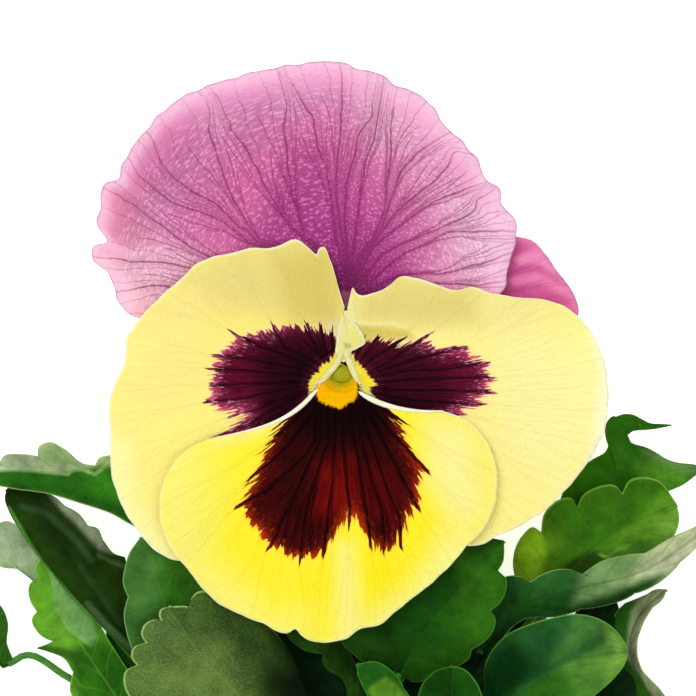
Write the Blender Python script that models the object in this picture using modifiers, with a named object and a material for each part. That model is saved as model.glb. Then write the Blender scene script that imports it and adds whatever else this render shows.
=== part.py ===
"""A picked pansy: one bloom on its stalk, cut with the short leafy shoot that it grew on.

The pansy lies on a table with its face up. Sizes are in millimetres, in the bloom's own frame: the middle
of the throat is at x 0, y 0, +Y is the bloom's top, +Z its face, and z 0 is the table. One empty at
BLOOM_CENTRE carries every piece, and puts the origin under the middle of the whole sprig.

The leaves' lines were measured by eye in a photograph taken from straight above. They are given as picture
columns and rows with a height, and from_picture turns them into millimetres.
"""

import math
from dataclasses import dataclass

import bmesh
import bpy
import numpy as np
from mathutils import Vector

MM = 0.001
BLOOM_CENTRE = (-0.1, 23.7, 0.0)
SEAT_GAP = 0.3
TURNED_STEPS = 20

# The photograph: the bloom's length in it sets the scale at the height of the face, its camera stands above
BLOOM_LENGTH = 80.64
BLOOM_LENGTH_IN_PIXELS = 576
MM_PER_PIXEL = BLOOM_LENGTH / BLOOM_LENGTH_IN_PIXELS
PICTURE_MIDDLE = 348
PICTURE_MIDDLE_IN_BLOOM = (0.84, 3.92)
FACE_HEIGHT = 17.0
CAMERA_ABOVE_FACE = 480.0

# Colours of the plain materials
MAUVE = (0.62, 0.22, 0.55)
YELLOW = (0.95, 0.82, 0.20)
SPUR_GREEN = (0.75, 0.78, 0.35)
STIGMA_GREEN = (0.45, 0.60, 0.12)
ANTHER_ORANGE = (0.85, 0.45, 0.05)
LEAF_GREEN = (0.07, 0.20, 0.03)
STEM_GREEN = (0.22, 0.38, 0.10)

# Knob that carries sepals, petals and stalk: heights above the table, radii, and its turned outline
KNOB_CENTRE = (0.0, 0.7)
KNOB_TOP = 11.0
KNOB_FOOT = 8.2
KNOB_OUTLINE = (
    (0.0, KNOB_TOP), (3.0, KNOB_TOP), (3.4, KNOB_TOP - 0.4), (3.0, 9.5), (1.6, KNOB_FOOT), (0.0, KNOB_FOOT),
)

# Sepals: bearing and reach of each, and the line they all follow as (distance from the knob's axis, height)
SEPALS = ((90, 14.0), (162, 13.5), (18, 13.5), (228, 12.5), (312, 12.5))
SEPAL_LINE = ((5.2, 6.0), (3.9, 8.0), (2.2, 9.9), (5.0, 10.3))
SEPAL_TIP_HEIGHT = 11.0
SEPAL_THICKNESS = 0.6
SEPAL_ROWS = 10
SEPAL_FLAP_HALF_WIDTH = 1.1
SEPAL_HALF_WIDTH = 1.9
SEPAL_TIP_HALF_WIDTH = 0.25
SEPAL_WIDEST = 0.55
SEPAL_CUP = 0.5

# Petals
PETAL_THICKNESS = 0.62
PETAL_FOOT = KNOB_TOP + SEAT_GAP + PETAL_THICKNESS / 2
PETAL_RAYS = 36
PETAL_STEPS = 7
PETAL_CROWDING = 1.3
FACE_FALL = 0.0022
SWELL_REACH = 36.0
SWELL = ((5, 0.55, 1.0), (8, 0.30, 2.2))

# Spur, the blunt sac behind the lower petal: middle in plan, half sizes, and the heights of its ends
SPUR_MIDDLE = (0.0, -4.5)
SPUR_HALF_WIDTH = 1.6
SPUR_HALF_DEPTH = 1.1
SPUR_TOP = 18.0
SPUR_TIP = 6.2

# Pistil and stamens
OVARY_HALF_SIZE = (0.5, 0.5, 1.0)
STYLE_ROUTE = ((0.0, 0.7, 12.6), (0.0, 0.7, 14.0), (0.0, 0.5, 15.2), (0.0, 0.3, 16.2))
STYLE_RADIUS = 0.3
STIGMA_MIDDLE = (0.0, 0.3, 16.6)
STIGMA_HALF_SIZE = (1.1, 1.0, 0.9)
STAMEN_FOOT = KNOB_TOP + SEAT_GAP
STAMEN_TOP = STAMEN_FOOT + 0.6
STAMEN_RING = ((1.05, STAMEN_TOP), (1.05, STAMEN_FOOT), (0.85, STAMEN_FOOT), (0.85, STAMEN_TOP))
ANTHER_COUNT = 5
ANTHER_DISTANCE = 1.0
ANTHER_RISE = 1.3
ANTHER_HALF_SIZE = (0.2, 0.2, 1.0)

# Flower stalk and leafy shoot
STALK_RADIUS = 0.9
STALK_STEPS = 32
SHOOT_RADIUS = 1.35
SHOOT_STEPS = 24
SHOOT_TOP_Y = -46.0
SHOOT_CUT_Y = -92.0
SHOOT_TOP_X = 1.2
SHOOT_LEAN = 2.6
SHOOT_BOW = 1.2
STALK_ROUTE = (
    (0.0, 0.75, KNOB_FOOT - SEAT_GAP - 0.2), (0.0, 1.1, 6.2), (0.0, 2.5, 4.2), (0.0, 2.3, 2.4),
    (0.0, 1.0, 1.35), (0.0, -1.0, 0.96), (0.0, -3.5, STALK_RADIUS), (0.0, -14.0, STALK_RADIUS),
    (0.4, -28.0, 1.0), (0.8, -38.0, 1.2), (SHOOT_TOP_X, SHOOT_TOP_Y + SEAT_GAP, SHOOT_RADIUS),
)

# Leaves
LEAF_THICKNESS = 0.64
LEAF_ARCH = 0.05
PETIOLE_THICKNESS = 1.2
PETIOLE_WIDTH = 1.4
PETIOLE_START = 1.6
PETIOLE_ROWS = 4
BLADE_ROWS = 15
TIP_HALF_WIDTH = 0.3
TOOTH_DEPTH = 0.12
TOOTH_ROUNDNESS = 0.6
NOTCH = True


@dataclass(frozen=True)
class Petal:
    """One petal: its claw on the knob, the way it fans out of the throat, its height and its outline in plan.

    Angles are bearings round the knob. Everything that has a first and a last value runs counter-clockwise.
    A steep petal climbs at once from its claw, the others rise gently. The sway bends the first edge.
    """

    name: str
    colour: tuple
    claw_radius: float
    claw_first: float
    claw_last: float
    throat_radius: float
    throat_first: float
    throat_last: float
    level: float
    rise_first: float
    rise_last: float
    steep: bool
    ruffle: float
    waves: float
    outline: tuple
    sway: float = 0.0


@dataclass(frozen=True)
class Leaf:
    """One leaf: its seat on the shoot, then the lines of its midrib and of its two margins.

    The three lines are points in the photograph: column, row, and height in millimetres. The midrib runs from
    the foot of the blade to its tip, with the left margin on the left hand on the way. A margin point marked
    NOTCH is a sharp one. Margins with a count of teeth get even, shallow teeth.
    """

    name: str
    node_y: float
    leaves_at: float
    stalk: tuple
    midrib: tuple
    left: tuple
    right: tuple
    teeth_left: int = 0
    teeth_right: int = 0
    arch: float = LEAF_ARCH


PETALS = (
    Petal(
        "petal_upper_right", MAUVE, 3.0, 52, 72, 6.0, 40, 110, 14.3, 6.5, 6.5, False, 0.05, 3.0,
        ((30.0, 4.5), (33.0, 7.2), (33.4, 10.2), (32.4, 12.3), (30.8, 14.4), (28.8, 17.2), (26.7, 19.3),
         (24.2, 21.6), (21.0, 26.0), (15.0, 33.0), (6.0, 38.5), (-3.0, 40.5), (-12.0, 38.5), (-19.0, 33.0),
         (-22.0, 24.0), (-20.0, 16.0), (-14.0, 11.0)),
    ),
    Petal(
        "petal_upper_left", MAUVE, 3.0, 108, 128, 6.0, 70, 150, 15.6, 3.0, 3.0, True, 0.12, 4.0,
        ((19.0, 8.6), (22.7, 12.1), (23.7, 16.4), (24.7, 19.9), (24.4, 22.0), (22.7, 24.1), (22.3, 26.2),
         (20.3, 27.9), (19.2, 30.5), (17.4, 32.7), (13.9, 36.2), (12.7, 38.3), (9.9, 40.2), (7.9, 40.9),
         (6.1, 42.2), (1.2, 43.8), (-0.4, 44.4), (-5.3, 44.3), (-11.3, 43.4), (-17.3, 41.8), (-21.6, 40.2),
         (-25.1, 37.8), (-27.9, 34.7), (-31.1, 29.8), (-31.7, 27.9), (-33.5, 27.2), (-34.2, 24.1),
         (-34.6, 21.3), (-33.3, 19.0), (-35.0, 18.4), (-35.3, 16.6), (-32.8, 14.2), (-31.7, 10.7),
         (-29.6, 8.4), (-25.5, 8.4)),
    ),
    Petal(
        "petal_side_right", YELLOW, 1.7, -46, 85, 5.0, -40, 86.5, 16.85, 5.0, 3.0, True, 0.1, 3.0,
        ((14.5, -23.2), (18.7, -23.9), (22.2, -22.4), (25.1, -21.1), (28.7, -18.9), (32.1, -15.5),
         (34.9, -11.9), (37.0, -7.6), (37.5, -3.4), (37.2, 0.8), (36.4, 3.6), (34.9, 6.5), (32.1, 9.3),
         (28.6, 10.7), (25.0, 11.0), (20.8, 11.7), (18.0, 12.5), (16.6, 12.1), (12.4, 13.1), (10.3, 13.8),
         (8.2, 13.9), (4.6, 11.7), (2.5, 11.5), (1.9, 11.9), (0.8, 9.6)),
    ),
    Petal(
        "petal_side_left", YELLOW, 1.7, 95, 226, 5.0, 91.5, 220, 16.85, 3.0, 5.0, True, 0.1, 3.0,
        ((0.35, 9.6), (-0.3, 12.8), (-1.0, 16.0), (-2.4, 18.0), (-4.2, 17.6), (-6.2, 19.1), (-9.4, 18.1),
         (-13.6, 17.8), (-15.0, 17.4), (-20.0, 16.0), (-22.8, 13.5), (-27.0, 9.7), (-29.1, 7.2),
         (-30.2, 5.7), (-30.6, 2.2), (-31.2, 0.5), (-32.5, -2.3), (-32.7, -9.0), (-32.3, -14.7),
         (-30.6, -19.0), (-28.5, -22.1), (-25.7, -25.0), (-20.5, -26.2), (-15.5, -24.6)),
    ),
    Petal(
        "petal_lower", YELLOW, 1.7, 245, 295, 8.0, 222, 318, 18.1, 1.8, 1.8, True, 0.15, 3.0,
        ((-18.4, -8.7), (-21.6, -10.3), (-24.3, -13.3), (-25.6, -18.2), (-24.4, -23.6), (-21.9, -26.9),
         (-17.9, -31.6), (-11.5, -34.7), (-7.5, -36.1), (-6.6, -35.6), (-5.9, -36.4), (0.4, -37.0),
         (2.6, -35.6), (5.2, -35.0), (8.0, -32.7), (11.3, -30.1), (14.6, -27.2), (17.0, -24.4),
         (20.5, -20.4), (21.8, -14.7), (20.6, -9.8), (17.3, -6.2), (13.9, -4.9)),
        sway=0.7,
    ),
)

LEAVES = (
    Leaf(
        "leaf_far_left", -47.5, 178, ((-14.0, -38.0, 3.0),),
        ((165, 512, 6.0), (110, 468, 8.5), (60, 473, 9.5), (10, 471, 9.5), (-28, 474, 8.5)),
        ((160, 530, 5.5), (140, 528, 6.0), (110, 513, 7.0), (80, 503, 7.8), (50, 494, 8.3),
         (10, 488, 8.6), (-15, 482, 8.5)),
        ((170, 494, 6.5), (135, 455, 8.0), (110, 455, 8.5), (99, 458, 8.6), (95, 466, 8.6, NOTCH),
         (84, 464, 8.8), (63, 448, 9.0), (50, 442, 9.0), (39, 447, 9.0), (38, 456, 9.0, NOTCH),
         (20, 454, 9.0), (4, 456, 9.0), (0, 462, 8.8, NOTCH), (-14, 462, 8.6)),
    ),
    Leaf(
        "leaf_left_long", -57.0, 168, ((-12.0, -51.5, 2.6),),
        ((165, 690, 4.0), (128, 630, 6.2), (92, 575, 7.2), (50, 528, 7.0), (7, 489, 5.4)),
        ((157, 697, 4.0), (125, 652, 5.8), (105, 630, 6.2), (85, 612, 6.4), (65, 590, 6.3),
         (50, 570, 6.2), (33, 550, 5.8), (20, 530, 5.4), (10, 513, 5.0), (5, 498, 5.0)),
        ((173, 684, 4.0), (152, 640, 6.4), (134, 595, 7.6), (125, 557, 7.4, NOTCH), (115, 554, 7.4),
         (103, 540, 7.2, NOTCH), (97, 528, 7.2), (88, 526, 7.1, NOTCH), (79, 514, 7.0),
         (65, 506, 6.8, NOTCH), (55, 497, 6.4), (40, 491, 6.0), (12, 488, 5.5)),
    ),
    Leaf(
        "leaf_left_low", -62.5, 182, ((-14.0, -56.0, 1.2),),
        ((82, 640, 1.0), (40, 585, 0.3), (-20, 545, 0.3)),
        ((75, 645, 0.9), (52, 603, 0.4), (35, 568, 0.3), (4, 568, 0.2), (-14, 560, 0.2)),
        ((90, 634, 1.0), (72, 592, 0.9), (32, 525, 1.2), (8, 519, 1.1), (-10, 529, 0.7)),
        teeth_right=4,
        arch=0.0,
    ),
    Leaf(
        "leaf_left_bright", -71.0, 172, ((-12.0, -63.0, 2.4),),
        ((150, 740, 3.4), (105, 680, 3.8), (70, 625, 4.2), (42, 557, 4.0)),
        ((141, 746, 3.4), (90, 715, 3.4), (70, 690, 3.4), (73, 672, 3.5, NOTCH), (64, 658, 3.5),
         (50, 652, 3.4), (36, 648, 3.2, NOTCH), (48, 644, 3.5), (53, 641, 3.5, NOTCH), (47, 639, 3.6),
         (36, 630, 3.6), (32, 619, 3.6), (37, 612, 3.7, NOTCH), (30, 600, 3.7), (30, 584, 3.8),
         (38, 578, 3.8, NOTCH), (35, 568, 3.8)),
        ((159, 734, 3.4), (140, 690, 3.9), (112, 645, 4.3), (88, 605, 4.4), (62, 565, 4.2)),
    ),
    Leaf(
        "leaf_low_left", -79.5, 180, ((-22.0, -58.0, 1.0), (-40.0, -43.5, 1.2), (-46.0, -40.5, 1.4)),
        ((8, 664, 1.6), (-8, 635, 2.2), (-16, 600, 1.6)),
        ((2, 668, 1.5), (-18, 650, 1.0), (-27, 622, 0.3), (-23, 604, 0.6)),
        ((13, 659, 1.7), (7, 643, 2.2), (8, 624, 2.4), (3, 609, 2.2), (-8, 599, 1.8)),
        teeth_left=3,
    ),
    Leaf(
        "leaf_mid_left", -52.5, 140, (),
        ((215, 702, 8.0), (180, 640, 9.6), (158, 585, 10.3), (141, 537, 10.0)),
        ((206, 708, 8.0), (160, 685, 9.0), (135, 655, 9.4), (126, 630, 9.6), (124, 612, 9.8),
         (128, 597, 9.8, NOTCH), (123, 583, 10.0), (125, 567, 10.0), (131, 550, 10.0)),
        ((224, 696, 8.0), (250, 655, 9.4), (245, 618, 10.0), (222, 590, 10.3), (195, 566, 10.4),
         (165, 545, 10.3)),
        teeth_right=4,
    ),
    Leaf(
        "leaf_front_left", -66.0, 115, (),
        ((318, 772, 8.5), (262, 716, 11.5), (205, 660, 13.0), (168, 607, 12.2)),
        ((308, 782, 8.5), (240, 774, 10.5), (180, 748, 11.5, NOTCH), (150, 732, 11.8),
         (133, 703, 11.8, NOTCH), (124, 685, 12.0), (125, 672, 12.0), (137, 665, 12.0, NOTCH),
         (131, 657, 12.2), (133, 648, 12.2), (146, 643, 12.2, NOTCH), (141, 634, 12.4), (145, 624, 12.4),
         (157, 620, 12.4), (166, 626, 12.4, NOTCH), (159, 617, 12.4), (160, 610, 12.3)),
        ((330, 762, 8.5), (342, 715, 10.5), (322, 672, 11.5, NOTCH), (305, 650, 12.0),
         (282, 634, 12.2, NOTCH), (260, 616, 12.4), (236, 608, 12.4, NOTCH), (216, 592, 12.5),
         (196, 593, 12.5), (191, 601, 12.4), (194, 612, 12.4, NOTCH), (189, 607, 12.3), (179, 606, 12.3)),
    ),
    Leaf(
        "leaf_mid_dark", -49.5, 92, (),
        ((347, 722, 5.0), (328, 672, 6.6), (287, 630, 7.0)),
        ((338, 724, 5.0), (305, 692, 6.0), (290, 662, 6.6), (283, 641, 6.8)),
        ((356, 718, 5.0), (352, 682, 6.8), (330, 642, 7.2), (303, 623, 7.2)),
        teeth_left=3,
        teeth_right=3,
    ),
    Leaf(
        "leaf_front_right", -58.0, 62, (),
        ((400, 673, 9.5), (418, 640, 11.3), (450, 600, 12.2), (504, 541, 12.0)),
        ((395, 668, 9.5), (380, 664, 10.2), (362, 661, 10.6), (354, 655, 10.8, NOTCH), (344, 646, 11.0),
         (341, 634, 11.2, NOTCH), (350, 612, 12.0), (385, 588, 12.3), (420, 563, 12.5), (455, 545, 12.5),
         (485, 537, 12.3)),
        ((405, 678, 9.5), (415, 682, 9.8), (428, 679, 10.2), (440, 672, 10.6), (462, 664, 11.0),
         (470, 657, 11.2), (471, 650, 11.3, NOTCH), (485, 641, 11.5), (494, 629, 11.6), (495, 617, 11.6),
         (490, 611, 11.7, NOTCH), (500, 603, 11.7), (506, 590, 11.8), (506, 579, 11.8),
         (497, 572, 11.8, NOTCH), (503, 562, 12.0), (504, 550, 12.0)),
    ),
    Leaf(
        "leaf_bud_bright", -62.5, 85, (),
        ((412, 742, 11.0), (390, 703, 13.0), (357, 664, 13.0)),
        ((404, 747, 11.0), (378, 714, 12.4), (363, 687, 12.8), (357, 672, 12.9)),
        ((420, 738, 11.0), (413, 702, 13.2), (397, 675, 13.5), (374, 661, 13.3)),
        teeth_left=2,
        teeth_right=2,
    ),
    Leaf(
        "leaf_bud_round", -69.5, 68, (),
        ((455, 765, 12.0), (452, 715, 14.0), (452, 666, 14.0)),
        ((446, 767, 12.0), (416, 735, 13.6), (416, 705, 14.0), (424, 681, 14.1), (437, 670, 14.1)),
        ((464, 765, 12.0), (490, 735, 13.6), (485, 705, 14.0), (475, 680, 14.1), (464, 669, 14.1)),
    ),
    Leaf(
        "leaf_oval", -66.0, 40, (),
        ((478, 735, 8.5), (520, 690, 11.0), (570, 662, 12.3), (628, 650, 12.0)),
        ((471, 727, 8.7), (484, 692, 10.2), (486, 662, 11.2), (505, 636, 12.0), (530, 624, 12.4),
         (555, 617, 12.6), (575, 614, 12.6), (592, 617, 12.6), (608, 628, 12.4), (620, 640, 12.2)),
        ((486, 743, 8.5), (520, 745, 9.5), (560, 722, 10.8), (595, 695, 11.6), (615, 675, 12.0),
         (625, 661, 12.0)),
    ),
    Leaf(
        "leaf_right_long", -55.5, 22, (),
        ((482, 650, 6.0), (530, 603, 7.5), (580, 588, 8.4), (640, 572, 8.8), (718, 521, 8.8)),
        ((475, 642, 6.0), (496, 600, 7.0), (507, 576, 7.8), (520, 577, 8.0), (527, 583, 8.0, NOTCH),
         (545, 573, 8.2), (560, 569, 8.4), (572, 570, 8.5), (581, 575, 8.5, NOTCH), (600, 562, 8.8),
         (625, 555, 9.0), (645, 553, 9.0, NOTCH), (670, 538, 9.1), (692, 528, 9.1), (708, 520, 9.0)),
        ((489, 658, 6.0), (520, 622, 6.6), (560, 616, 7.2), (600, 607, 7.6), (630, 598, 8.0),
         (660, 582, 8.2), (692, 552, 8.4), (712, 530, 8.6)),
        teeth_right=5,
    ),
    Leaf(
        "leaf_right_broad", -51.5, 12, (),
        ((540, 610, 3.5), (580, 560, 4.8), (630, 525, 5.4), (677, 505, 5.4)),
        ((531, 604, 3.5), (516, 580, 4.0), (513, 560, 4.4), (522, 536, 4.8), (533, 527, 5.0),
         (541, 533, 5.0, NOTCH), (548, 516, 5.2), (560, 503, 5.3), (572, 500, 5.4),
         (576, 511, 5.4, NOTCH), (583, 495, 5.5), (600, 486, 5.6), (614, 485, 5.6),
         (622, 493, 5.6, NOTCH), (630, 480, 5.7), (645, 477, 5.7), (659, 481, 5.6),
         (667, 489, 5.5, NOTCH)),
        ((549, 616, 3.5), (590, 602, 4.0), (630, 580, 4.4), (660, 556, 4.8, NOTCH), (673, 538, 5.0),
         (679, 520, 5.2)),
    ),
    Leaf(
        "leaf_far_right", -47.5, 4, ((20.0, -31.0, 1.2),),
        ((575, 560, 1.4), (620, 500, 2.2), (660, 475, 2.3), (706, 466, 1.8)),
        ((567, 552, 1.4), (580, 500, 2.0), (590, 465, 2.4), (598, 458, 2.4), (606, 451, 2.5),
         (609, 444, 2.5, NOTCH), (606, 437, 2.6), (607, 420, 2.7), (622, 413, 2.8), (640, 414, 2.8),
         (651, 421, 2.7), (672, 425, 2.4, NOTCH), (650, 431, 2.6), (634, 431, 2.6),
         (625, 436, 2.6, NOTCH), (640, 446, 2.6), (655, 451, 2.5), (671, 461, 2.4), (690, 464, 2.2)),
        ((584, 568, 1.3), (640, 542, 0.9), (675, 515, 0.3), (668, 491, 1.2, NOTCH), (682, 485, 1.3),
         (697, 474, 1.5)),
    ),
    Leaf(
        "leaf_right_narrow", -74.5, 2, ((30.0, -59.0, 0.9),),
        ((672, 722, 1.2), (645, 685, 1.8), (630, 650, 2.4), (640, 615, 2.8), (666, 590, 2.2)),
        ((662, 727, 1.2), (632, 697, 1.4), (616, 665, 1.6), (612, 635, 2.0), (614, 615, 2.4),
         (625, 603, 2.6, NOTCH), (645, 595, 2.6), (657, 589, 2.4)),
        ((681, 716, 1.2), (659, 688, 2.4), (641, 668, 3.2), (637, 645, 3.6), (643, 624, 3.8),
         (652, 609, 3.3), (664, 597, 2.6)),
    ),
)


def clear_scene():
    """Removes the objects that the startup scene holds."""
    for thing in list(bpy.data.objects):
        bpy.data.objects.remove(thing, do_unlink=True)


def new_collection(name):
    """Makes a collection and links it to the scene."""
    made = bpy.data.collections.new(name)
    bpy.context.scene.collection.children.link(made)
    return made


def plain_material(name, colour, roughness=0.6):
    """One Principled material of an even colour."""
    made = bpy.data.materials.new(name)
    made.use_nodes = True
    shader = made.node_tree.nodes["Principled BSDF"]
    shader.inputs["Base Color"].default_value = (*colour, 1.0)
    shader.inputs["Roughness"].default_value = roughness
    shader.inputs["Metallic"].default_value = 0.0
    return made


def add_object(name, data, material, carrier):
    """Puts data in the pansy's collection as a named object that the carrier empty holds."""
    made = bpy.data.objects.new(name, data)
    made.data.materials.append(material)
    made.parent = carrier
    PANSY.objects.link(made)
    return made


def smoothstep(share):
    """0 to 1 with level ends."""
    held = min(max(share, 0.0), 1.0)
    return held * held * (3.0 - 2.0 * held)


def from_picture(point):
    """Where a point that was measured in the photograph, as (column, row, height), lies in the bloom."""
    column, row, height = point[:3]
    scale = MM_PER_PIXEL * (CAMERA_ABOVE_FACE + FACE_HEIGHT - height) / CAMERA_ABOVE_FACE
    x = PICTURE_MIDDLE_IN_BLOOM[0] + (column - PICTURE_MIDDLE) * scale
    y = PICTURE_MIDDLE_IN_BLOOM[1] - (row - PICTURE_MIDDLE) * scale
    return np.array([x, y, height])


def distances_along(points):
    """How far along the line through the points each of them is."""
    steps = np.linalg.norm(np.diff(np.asarray(points, float), axis=0), axis=1)
    return np.concatenate([[0.0], np.cumsum(steps)])


def curve_point(points, share):
    """The point at this share of the way along a smooth curve through the points, and its direction."""
    knots = np.asarray(points, float)
    at = distances_along(knots)
    steps = np.diff(at)
    chords = np.diff(knots, axis=0) / steps[:, None]
    slopes = np.empty_like(knots)
    slopes[0], slopes[-1] = chords[0], chords[-1]
    before, after = steps[:-1, None], steps[1:, None]
    slopes[1:-1] = (chords[:-1] * after + chords[1:] * before) / (before + after)
    distance = min(max(share, 0.0), 1.0) * at[-1]
    k = min(int(np.searchsorted(at, distance, side="right")) - 1, len(steps) - 1)
    h, t = steps[k], (distance - at[k]) / steps[k]
    point = (
        (2 * t**3 - 3 * t**2 + 1) * knots[k]
        + (t**3 - 2 * t**2 + t) * h * slopes[k]
        + (3 * t**2 - 2 * t**3) * knots[k + 1]
        + (t**3 - t**2) * h * slopes[k + 1]
    )
    heading = (
        (6 * t**2 - 6 * t) * (knots[k] - knots[k + 1]) / h
        + (3 * t**2 - 4 * t + 1) * slopes[k]
        + (3 * t**2 - 2 * t) * slopes[k + 1]
    )
    return point, heading


def blade(name, rows, columns, place, thickness, material, carrier, thick_share=None):
    """A thin blade: a grid whose corners `place` sets, split into triangles and made solid.

    thick_share(along) is the share of the thickness that a row has, 1 everywhere if left out.
    """
    mesh = bpy.data.meshes.new(name)
    builder = bmesh.new()
    bmesh.ops.create_grid(builder, x_segments=columns, y_segments=rows, size=0.5)
    shares = []
    for corner in builder.verts:
        across, along = corner.co.x + 0.5, corner.co.y + 0.5
        corner.co = Vector(place(across, along)) * MM
        shares.append(thick_share(along) if thick_share else 1.0)
    builder.to_mesh(mesh)
    builder.free()
    made = add_object(name, mesh, material, carrier)
    made.modifiers.new("split", "TRIANGULATE")
    solid = made.modifiers.new("thickness", "SOLIDIFY")
    solid.thickness = thickness * MM
    solid.offset = 0.0
    solid.use_even_offset = False
    if thick_share:
        group = made.vertex_groups.new(name="thickness")
        for index, share in enumerate(shares):
            group.add([index], share, "REPLACE")
        solid.vertex_group = group.name
        solid.thickness_vertex_group = 0.0
    mesh.shade_smooth()
    return made


def tube(name, points, radius, material, carrier, resolution=2):
    """A stalk: a curve through the points with a round section and closed ends."""
    line = bpy.data.curves.new(name, "CURVE")
    line.dimensions = "3D"
    line.bevel_depth = radius * MM
    line.bevel_resolution = resolution
    line.use_fill_caps = True
    run = line.splines.new("POLY")
    run.points.add(len(points) - 1)
    for knot, point in zip(run.points, points):
        knot.co = (*(Vector(point) * MM), 1.0)
    return add_object(name, line, material, carrier)


def as_mesh(thing):
    """A curve object made into a mesh object of the same name, with its caps welded on."""
    graph = bpy.context.evaluated_depsgraph_get()
    mesh = bpy.data.meshes.new_from_object(thing.evaluated_get(graph))
    builder = bmesh.new()
    builder.from_mesh(mesh)
    bmesh.ops.remove_doubles(builder, verts=builder.verts, dist=1e-6)
    bmesh.ops.recalc_face_normals(builder, faces=builder.faces)
    builder.to_mesh(mesh)
    builder.free()
    name, carrier, place = thing.name, thing.parent, thing.matrix_world.copy()
    bpy.data.objects.remove(thing)
    made = bpy.data.objects.new(name, mesh)
    made.parent = carrier
    PANSY.objects.link(made)
    bpy.context.view_layer.update()
    made.matrix_world = place
    mesh.shade_smooth()
    return made


def join_to(target, tools):
    """Joins the tools to the target and keeps them as hidden helpers."""
    for tool in tools:
        step = target.modifiers.new("join", "BOOLEAN")
        step.operation = "UNION"
        step.object = tool
        step.solver = "EXACT"
        tool.hide_render = True
        tool.display_type = "WIRE"
        PANSY.objects.unlink(tool)
        HELPERS.objects.link(tool)


def ball(name, middle, half_size, material, carrier, rings=8, segments=12):
    """A rounded body with these half sizes along X, Y and Z."""
    mesh = bpy.data.meshes.new(name)
    builder = bmesh.new()
    bmesh.ops.create_uvsphere(builder, u_segments=segments, v_segments=rings, radius=MM)
    bmesh.ops.scale(builder, vec=half_size, verts=builder.verts)
    builder.to_mesh(mesh)
    builder.free()
    made = add_object(name, mesh, material, carrier)
    made.location = Vector(middle) * MM
    mesh.shade_smooth()
    return made


def turned_body(name, profile, material, carrier):
    """A body turned about the knob's axis. Its (radius, height) profile runs down its outer side."""
    count = len(profile)
    meets_axis = profile[0][0] == 0.0
    edges = [(i, (i + 1) % count) for i in range(count - 1 if meets_axis else count)]
    mesh = bpy.data.meshes.new(name)
    mesh.from_pydata([(radius * MM, 0.0, height * MM) for radius, height in profile], edges, [])
    made = add_object(name, mesh, material, carrier)
    made.location = Vector((*KNOB_CENTRE, 0.0)) * MM
    turned = made.modifiers.new("turned", "SCREW")
    turned.steps = TURNED_STEPS
    turned.render_steps = TURNED_STEPS
    turned.use_merge_vertices = True
    turned.merge_threshold = 0.00001
    return made


def bearing(degrees):
    """The unit direction in plan at this bearing."""
    return np.array([math.cos(math.radians(degrees)), math.sin(math.radians(degrees))])


def round_knob(radius, degrees):
    """A point in plan at this distance and bearing from the middle of the knob."""
    return np.array(KNOB_CENTRE) + radius * bearing(degrees)


def swell(plan):
    """The waves that run round the rim of the bloom through every petal alike, so that none meets another."""
    reach, angle = math.hypot(*plan) / SWELL_REACH, math.atan2(plan[1], plan[0])
    return reach**3 * sum(height * math.sin(count * angle + phase) for count, height, phase in SWELL)


def petal_point(petal, across, along):
    """A point of the petal's middle surface: across the fan counter-clockwise, along from claw to rim."""
    edge, _ = curve_point(petal.outline, across)
    claw = round_knob(petal.claw_radius, petal.claw_first + across * (petal.claw_last - petal.claw_first))
    fan = petal.throat_last - petal.throat_first
    throat = round_knob(petal.throat_radius, petal.throat_first + across * fan)
    plan = claw * (1 - along) ** 2 + throat * 2 * along * (1 - along) + edge * along**2
    ray = (edge - claw) / np.linalg.norm(edge - claw)
    plan = plan + np.array([ray[1], -ray[0]]) * petal.sway * math.sin(2 * math.pi * along) * (1 - across) ** 4
    rise = petal.rise_first + across * (petal.rise_last - petal.rise_first)
    gone = max(0.0, math.dist(plan, KNOB_CENTRE) - petal.claw_radius) / rise
    lift = 1.0 - (1.0 - min(gone, 1.0)) ** 2 if petal.steep else smoothstep(gone)
    face = petal.level - FACE_FALL * float(plan @ plan) + swell(plan)
    wave = petal.ruffle * along**2.5 * math.sin(2 * math.pi * petal.waves * across)
    return plan[0], plan[1], PETAL_FOOT + (face - PETAL_FOOT) * lift + wave


def build_petal(petal, carrier):
    """One petal blade."""
    return blade(
        petal.name, PETAL_STEPS, PETAL_RAYS,
        lambda across, along: petal_point(petal, across, along**PETAL_CROWDING),
        PETAL_THICKNESS, plain_material(petal.name, petal.colour), carrier,
    )


def add_spur(lower, carrier):
    """The spur, a blunt sac that hangs behind the lower petal, joined to it."""
    half_height = (SPUR_TOP - SPUR_TIP) / 2
    spur = ball(
        "spur", (*SPUR_MIDDLE, SPUR_TIP + half_height), (SPUR_HALF_WIDTH, SPUR_HALF_DEPTH, half_height),
        plain_material("spur", SPUR_GREEN), carrier,
    )
    join_to(lower, [spur])


def sepal_point(out, reach, across, along):
    """A point of a sepal: the flap behind the knob, through the knob, then out to its tip."""
    line = [(*(np.array(KNOB_CENTRE) + out * distance), height) for distance, height in SEPAL_LINE]
    line.append((*(np.array(KNOB_CENTRE) + out * reach), SEPAL_TIP_HEIGHT))
    point, _ = curve_point(line, along)
    if along < SEPAL_WIDEST:
        widening = smoothstep(along / SEPAL_WIDEST)
        half = SEPAL_FLAP_HALF_WIDTH + (SEPAL_HALF_WIDTH - SEPAL_FLAP_HALF_WIDTH) * widening
    else:
        narrowing = math.sqrt(max(0.0, 1 - ((along - SEPAL_WIDEST) / (1 - SEPAL_WIDEST)) ** 1.6))
        half = SEPAL_TIP_HALF_WIDTH + (SEPAL_HALF_WIDTH - SEPAL_TIP_HALF_WIDTH) * narrowing
    t = across * 2 - 1
    return point + np.array([-out[1] * t * half, out[0] * t * half, SEPAL_CUP * t**2])


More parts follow.
